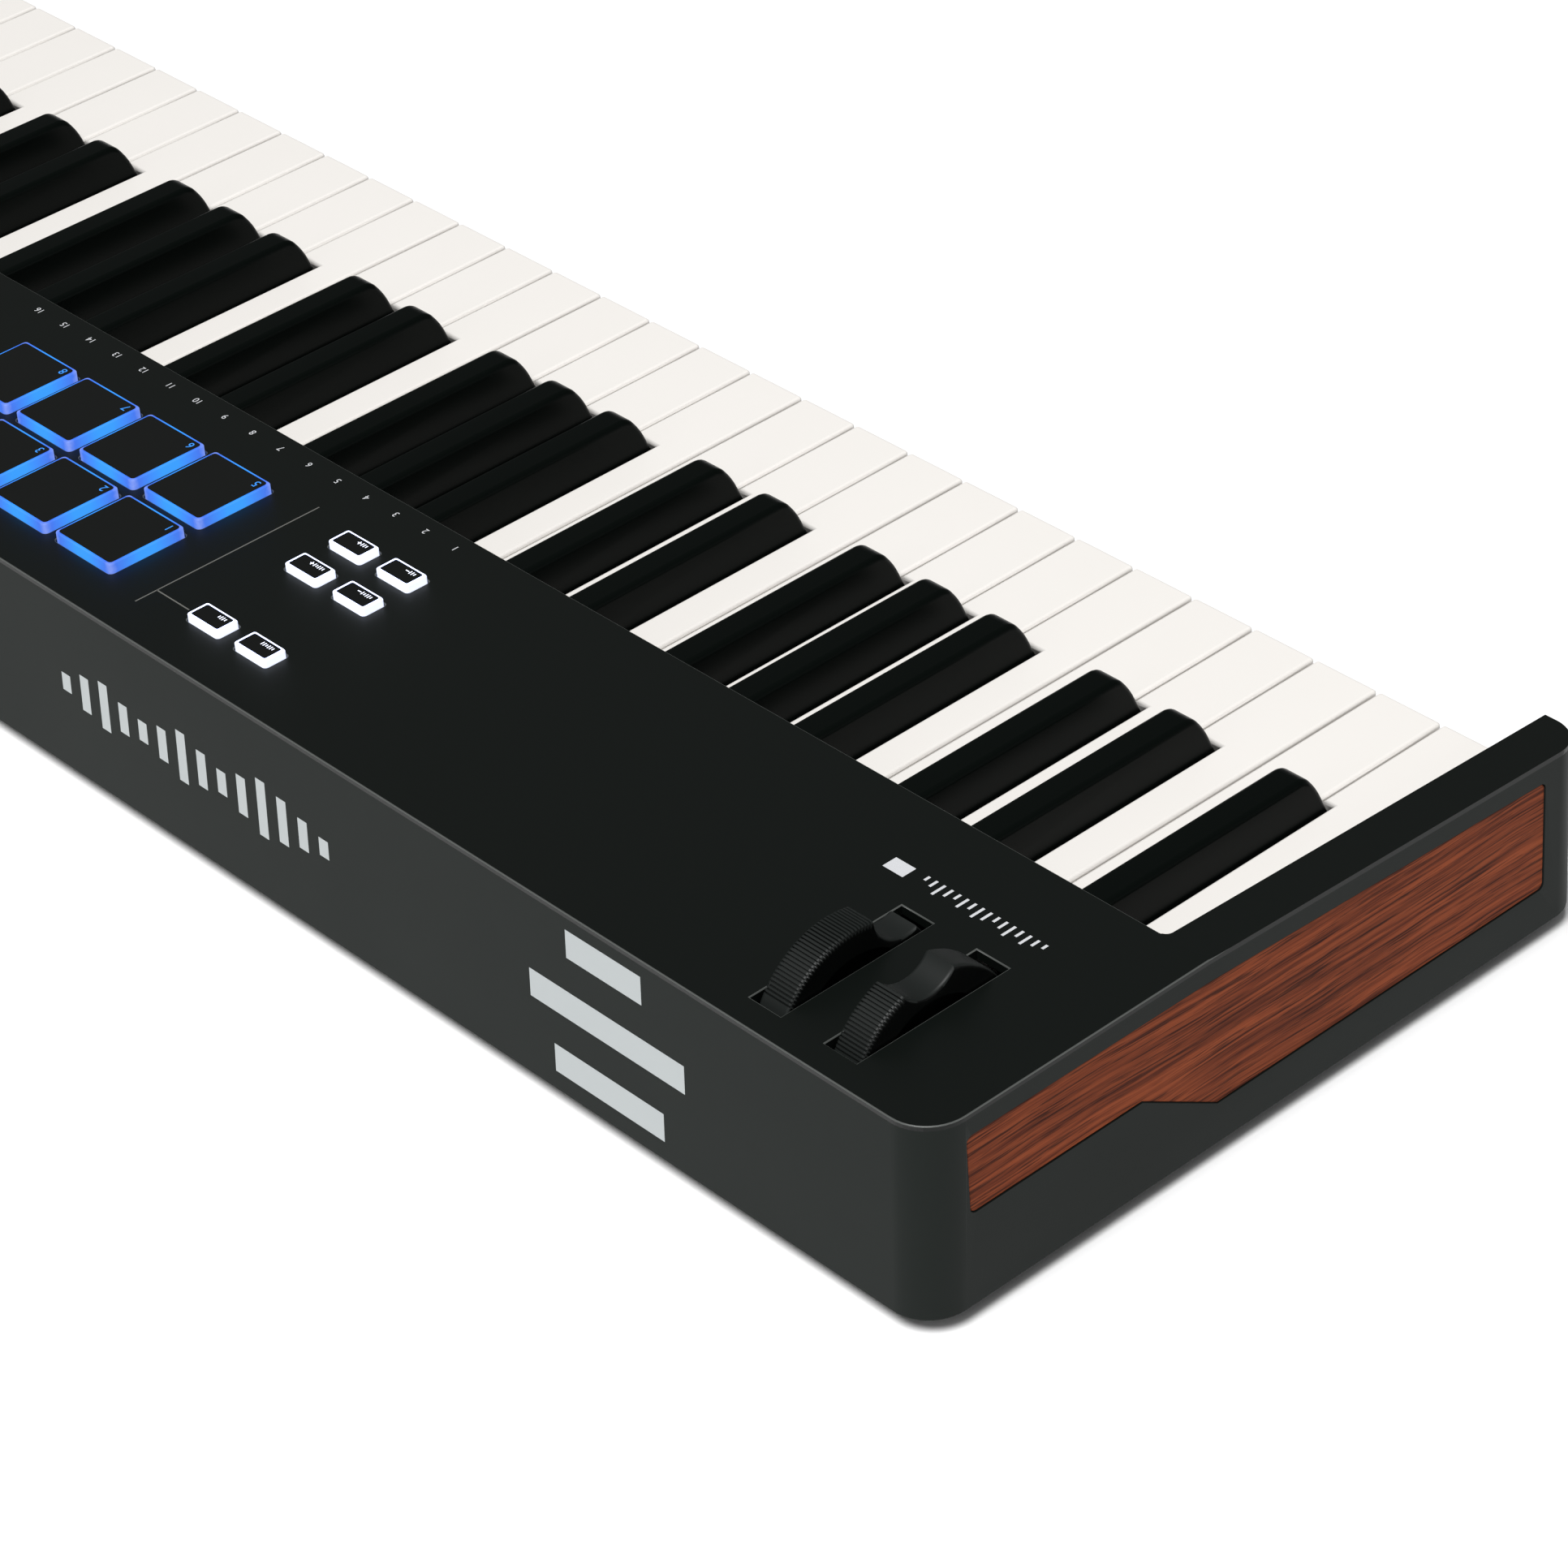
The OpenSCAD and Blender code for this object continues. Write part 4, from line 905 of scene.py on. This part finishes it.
# ------------------------------------------------------------- knobs and encoder
# Black knobs with a skirt, a fluted grip and a pale pointer line, pushed on their
# shafts. The encoder's knob is bigger and turns without a stop.
FLUTES = 24
FLUTE_STEPS = 4
FLUTE_DEPTH = 0.3
SHAFT_R = 3.0 * MM
SKIRT_LOW = 1.0 * MM
SKIRT_W = 1.0 * MM
POINTER_W = 0.9 * MM

knob_plastic = moulded(
    "knob_plastic", (0.010, 0.011, 0.011, 1), (0.008, 0.009, 0.009, 1), 0.45, 0.08, 1600.0, 0.1
)
pointer_ink = moulded("pointer_ink", (0.8, 0.8, 0.78, 1), (0.75, 0.75, 0.73, 1), 0.5)


def stacked_rings(bm, centre, rings):
    """A turned solid from rings of radius, height and depth of the grip's flutes."""
    count = FLUTES * FLUTE_STEPS
    spot = Matrix.Translation((centre.x, centre.y, rings[0][1]))
    verts = bmesh.ops.create_circle(
        bm, segments=count, radius=rings[0][0], matrix=spot, cap_ends=True
    )["verts"]
    face = verts[0].link_faces[0]
    for radius, height, flute in rings[1:]:
        grown = bmesh.ops.extrude_face_region(bm, geom=[face])["geom"]
        face = [g for g in grown if isinstance(g, bmesh.types.BMFace)][0]
        for n, vert in enumerate(face.verts):
            wave = flute * (0.5 - 0.5 * cos(2 * pi * n / FLUTE_STEPS))
            arm = Vector((vert.co.x - centre.x, vert.co.y - centre.y, 0)).normalized()
            vert.co = Vector((centre.x, centre.y, height)) + arm * (radius - wave)


def turned_knob(node, name):
    """A knob with its shaft, skirt, grip and pointer."""
    low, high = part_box(node)
    centre = (low + high) / 2
    outer = (high.x - low.x) / 2
    grip = outer - SKIRT_W
    foot = deck_high.z + SKIRT_LOW
    flute = FLUTE_DEPTH * MM
    bm = bmesh.new()
    stacked_rings(
        bm, centre,
        (
            (SHAFT_R, low.z, 0), (SHAFT_R, foot, 0), (outer - 0.3 * MM, foot, 0),
            (outer, foot + 0.3 * MM, 0), (outer, foot + 1.5 * MM, 0),
            (outer - 0.5 * MM, foot + 2.0 * MM, 0), (grip, foot + 2.1 * MM, 0),
            (grip, foot + 2.6 * MM, flute), (grip - 0.3 * MM, high.z - 1.2 * MM, flute),
            (grip - 0.6 * MM, high.z - 0.35 * MM, 0.5 * flute), (grip - 1.2 * MM, high.z, 0),
            (grip - 2.2 * MM, high.z, 0), (grip - 2.6 * MM, high.z - 0.3 * MM, 0),
        ),
    )
    bmesh.ops.recalc_face_normals(bm, faces=bm.faces)
    stroke(
        bm, centre.x, centre.y + grip * 0.62, high.z + INK_LIFT, POINTER_W, grip * 0.36, 1
    )
    add_piece(bm, name, node, [knob_plastic, pointer_ink], [node], crease=50)


for number in range(1, 10):
    turned_knob("knob_" + str(number), "turned_knob_" + str(number))
turned_knob("main_encoder", "encoder_knob")

# ----------------------------------------------------------------------- faders
# Nine slide faders with a hollowed black cap on a flat steel stem. A pale line
# across the cap's hollow marks the setting.
FADER_EDGE = 0.5 * MM
CAP_FOOT = 1.2 * MM
CAP_DIP = 7.2 * MM
CAP_LINE = (9.6 * MM, 0.9 * MM)

bm = merged_copy("faders")
fader_low, fader_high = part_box("faders")
cap_tops = sorted(
    {
        round(sum(vert.co.x for vert in face.verts) / len(face.verts), 4)
        for face in bm.faces
        if face.normal.z < -0.99 and face.calc_center_bounds().z > deck_high.z + CAP_FOOT - 0.1 * MM
    }
)
round_edges(bm, lambda p: p.z > deck_high.z + CAP_FOOT - NEAR, FADER_EDGE, 2)
cap_y = (fader_low.y + fader_high.y) / 2
for x in cap_tops:
    stroke(bm, x, cap_y, deck_high.z + CAP_DIP + 2 * INK_LIFT, *CAP_LINE, 1)
add_piece(bm, "fader_caps", "faders", [knob_plastic, pointer_ink], ["faders"])

# ------------------------------------------------------- feet, screws and sockets
# Soft black rubber feet with a rounded rim, steel screws sunk in the floor, and
# moulded sockets with nickel-plated shells in the rear wall.
FOOT_ROUND = 1.2 * MM

foot_rubber = moulded(
    "foot_rubber", (0.016, 0.016, 0.017, 1), (0.012, 0.012, 0.013, 1), 0.75, 0.1, 1200.0, 0.2
)
steel = moulded(
    "plated_steel", (0.55, 0.56, 0.58, 1), (0.45, 0.46, 0.48, 1), 0.32, 0.12, 1500.0, 0.05,
    {"Metallic": 1.0},
)
black_nylon = moulded(
    "black_nylon", (0.014, 0.014, 0.015, 1), (0.011, 0.011, 0.012, 1), 0.5, 0.08, 1500.0, 0.08
)
pattern = merged_copy("feet")
foot_spots = [
    face.calc_center_bounds() for face in pattern.faces if face.normal.z < -0.99
]
pattern.free()
feet_low, feet_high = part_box("feet")
foot_r = min(foot_spots, key=lambda spot: spot.x).x - feet_low.x
bm = bmesh.new()
for spot in foot_spots:
    stacked_rings(
        bm, spot,
        (
            (foot_r, feet_high.z, 0), (foot_r, feet_low.z + FOOT_ROUND, 0),
            (foot_r - 0.3 * FOOT_ROUND, feet_low.z + 0.3 * FOOT_ROUND, 0),
            (foot_r - FOOT_ROUND, feet_low.z, 0), (foot_r * 0.62, feet_low.z, 0),
            (foot_r * 0.56, feet_low.z + 0.5 * MM, 0),
        ),
    )
bmesh.ops.recalc_face_normals(bm, faces=bm.faces)
add_piece(bm, "rubber_feet", "case", [foot_rubber], ["feet"], crease=50)


def refinish(material, *nodes):
    """Gives CAD nodes that keep their shape a better material."""
    for node in nodes:
        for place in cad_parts[node].material_slots:
            place.material = material


refinish(steel, "case_screws", "usb_socket")
refinish(black_nylon, "pedal_jacks", "midi_socket")

# ----------------------------------------------------------------- inner works
# Under the deck a folded steel frame carries the keys' rod, the comb of springs and
# the felts. Green boards, grey rubber domes and the wheels' bracket lie below it.
BOARD_GREEN = (0.018, 0.115, 0.050, 1)
BOARD_TRACE = (0.030, 0.170, 0.075, 1)

felt = moulded(
    "red_felt", (0.25, 0.025, 0.022, 1), (0.18, 0.016, 0.015, 1), 0.95, 0.04, 2500.0, 0.6
)
dome_rubber = moulded(
    "dome_rubber", (0.10, 0.10, 0.11, 1), (0.08, 0.08, 0.09, 1), 0.7, 0.08, 1200.0, 0.1
)
bracket_plastic = moulded(
    "bracket_plastic", (0.05, 0.05, 0.055, 1), (0.04, 0.04, 0.045, 1), 0.5, 0.08, 1600.0, 0.1
)
board = bpy.data.materials.new("circuit_board")
board.use_nodes = True
tree = board.node_tree
shader = tree.nodes["Principled BSDF"]
shader.inputs["Roughness"].default_value = 0.4
place = add_node(tree, "ShaderNodeTexCoord")
tracks = add_node(
    tree, "ShaderNodeTexBrick",
    {"Color1": BOARD_GREEN, "Color2": BOARD_TRACE, "Mortar": BOARD_GREEN, "Scale": 90.0,
     "Mortar Size": 0.03},
)
tree.links.new(place.outputs["Object"], tracks.inputs["Vector"])
tree.links.new(tracks.outputs["Color"], shader.inputs["Base Color"])

refinish(steel, "keybed_frame", "pivot_rod", "key_springs")
refinish(board, "contact_board", "panel_board", "main_board")
refinish(felt, "stop_felts")
refinish(dome_rubber, "rubber_domes")
refinish(bracket_plastic, "wheel_bracket")
refinish(glass, "display_module")
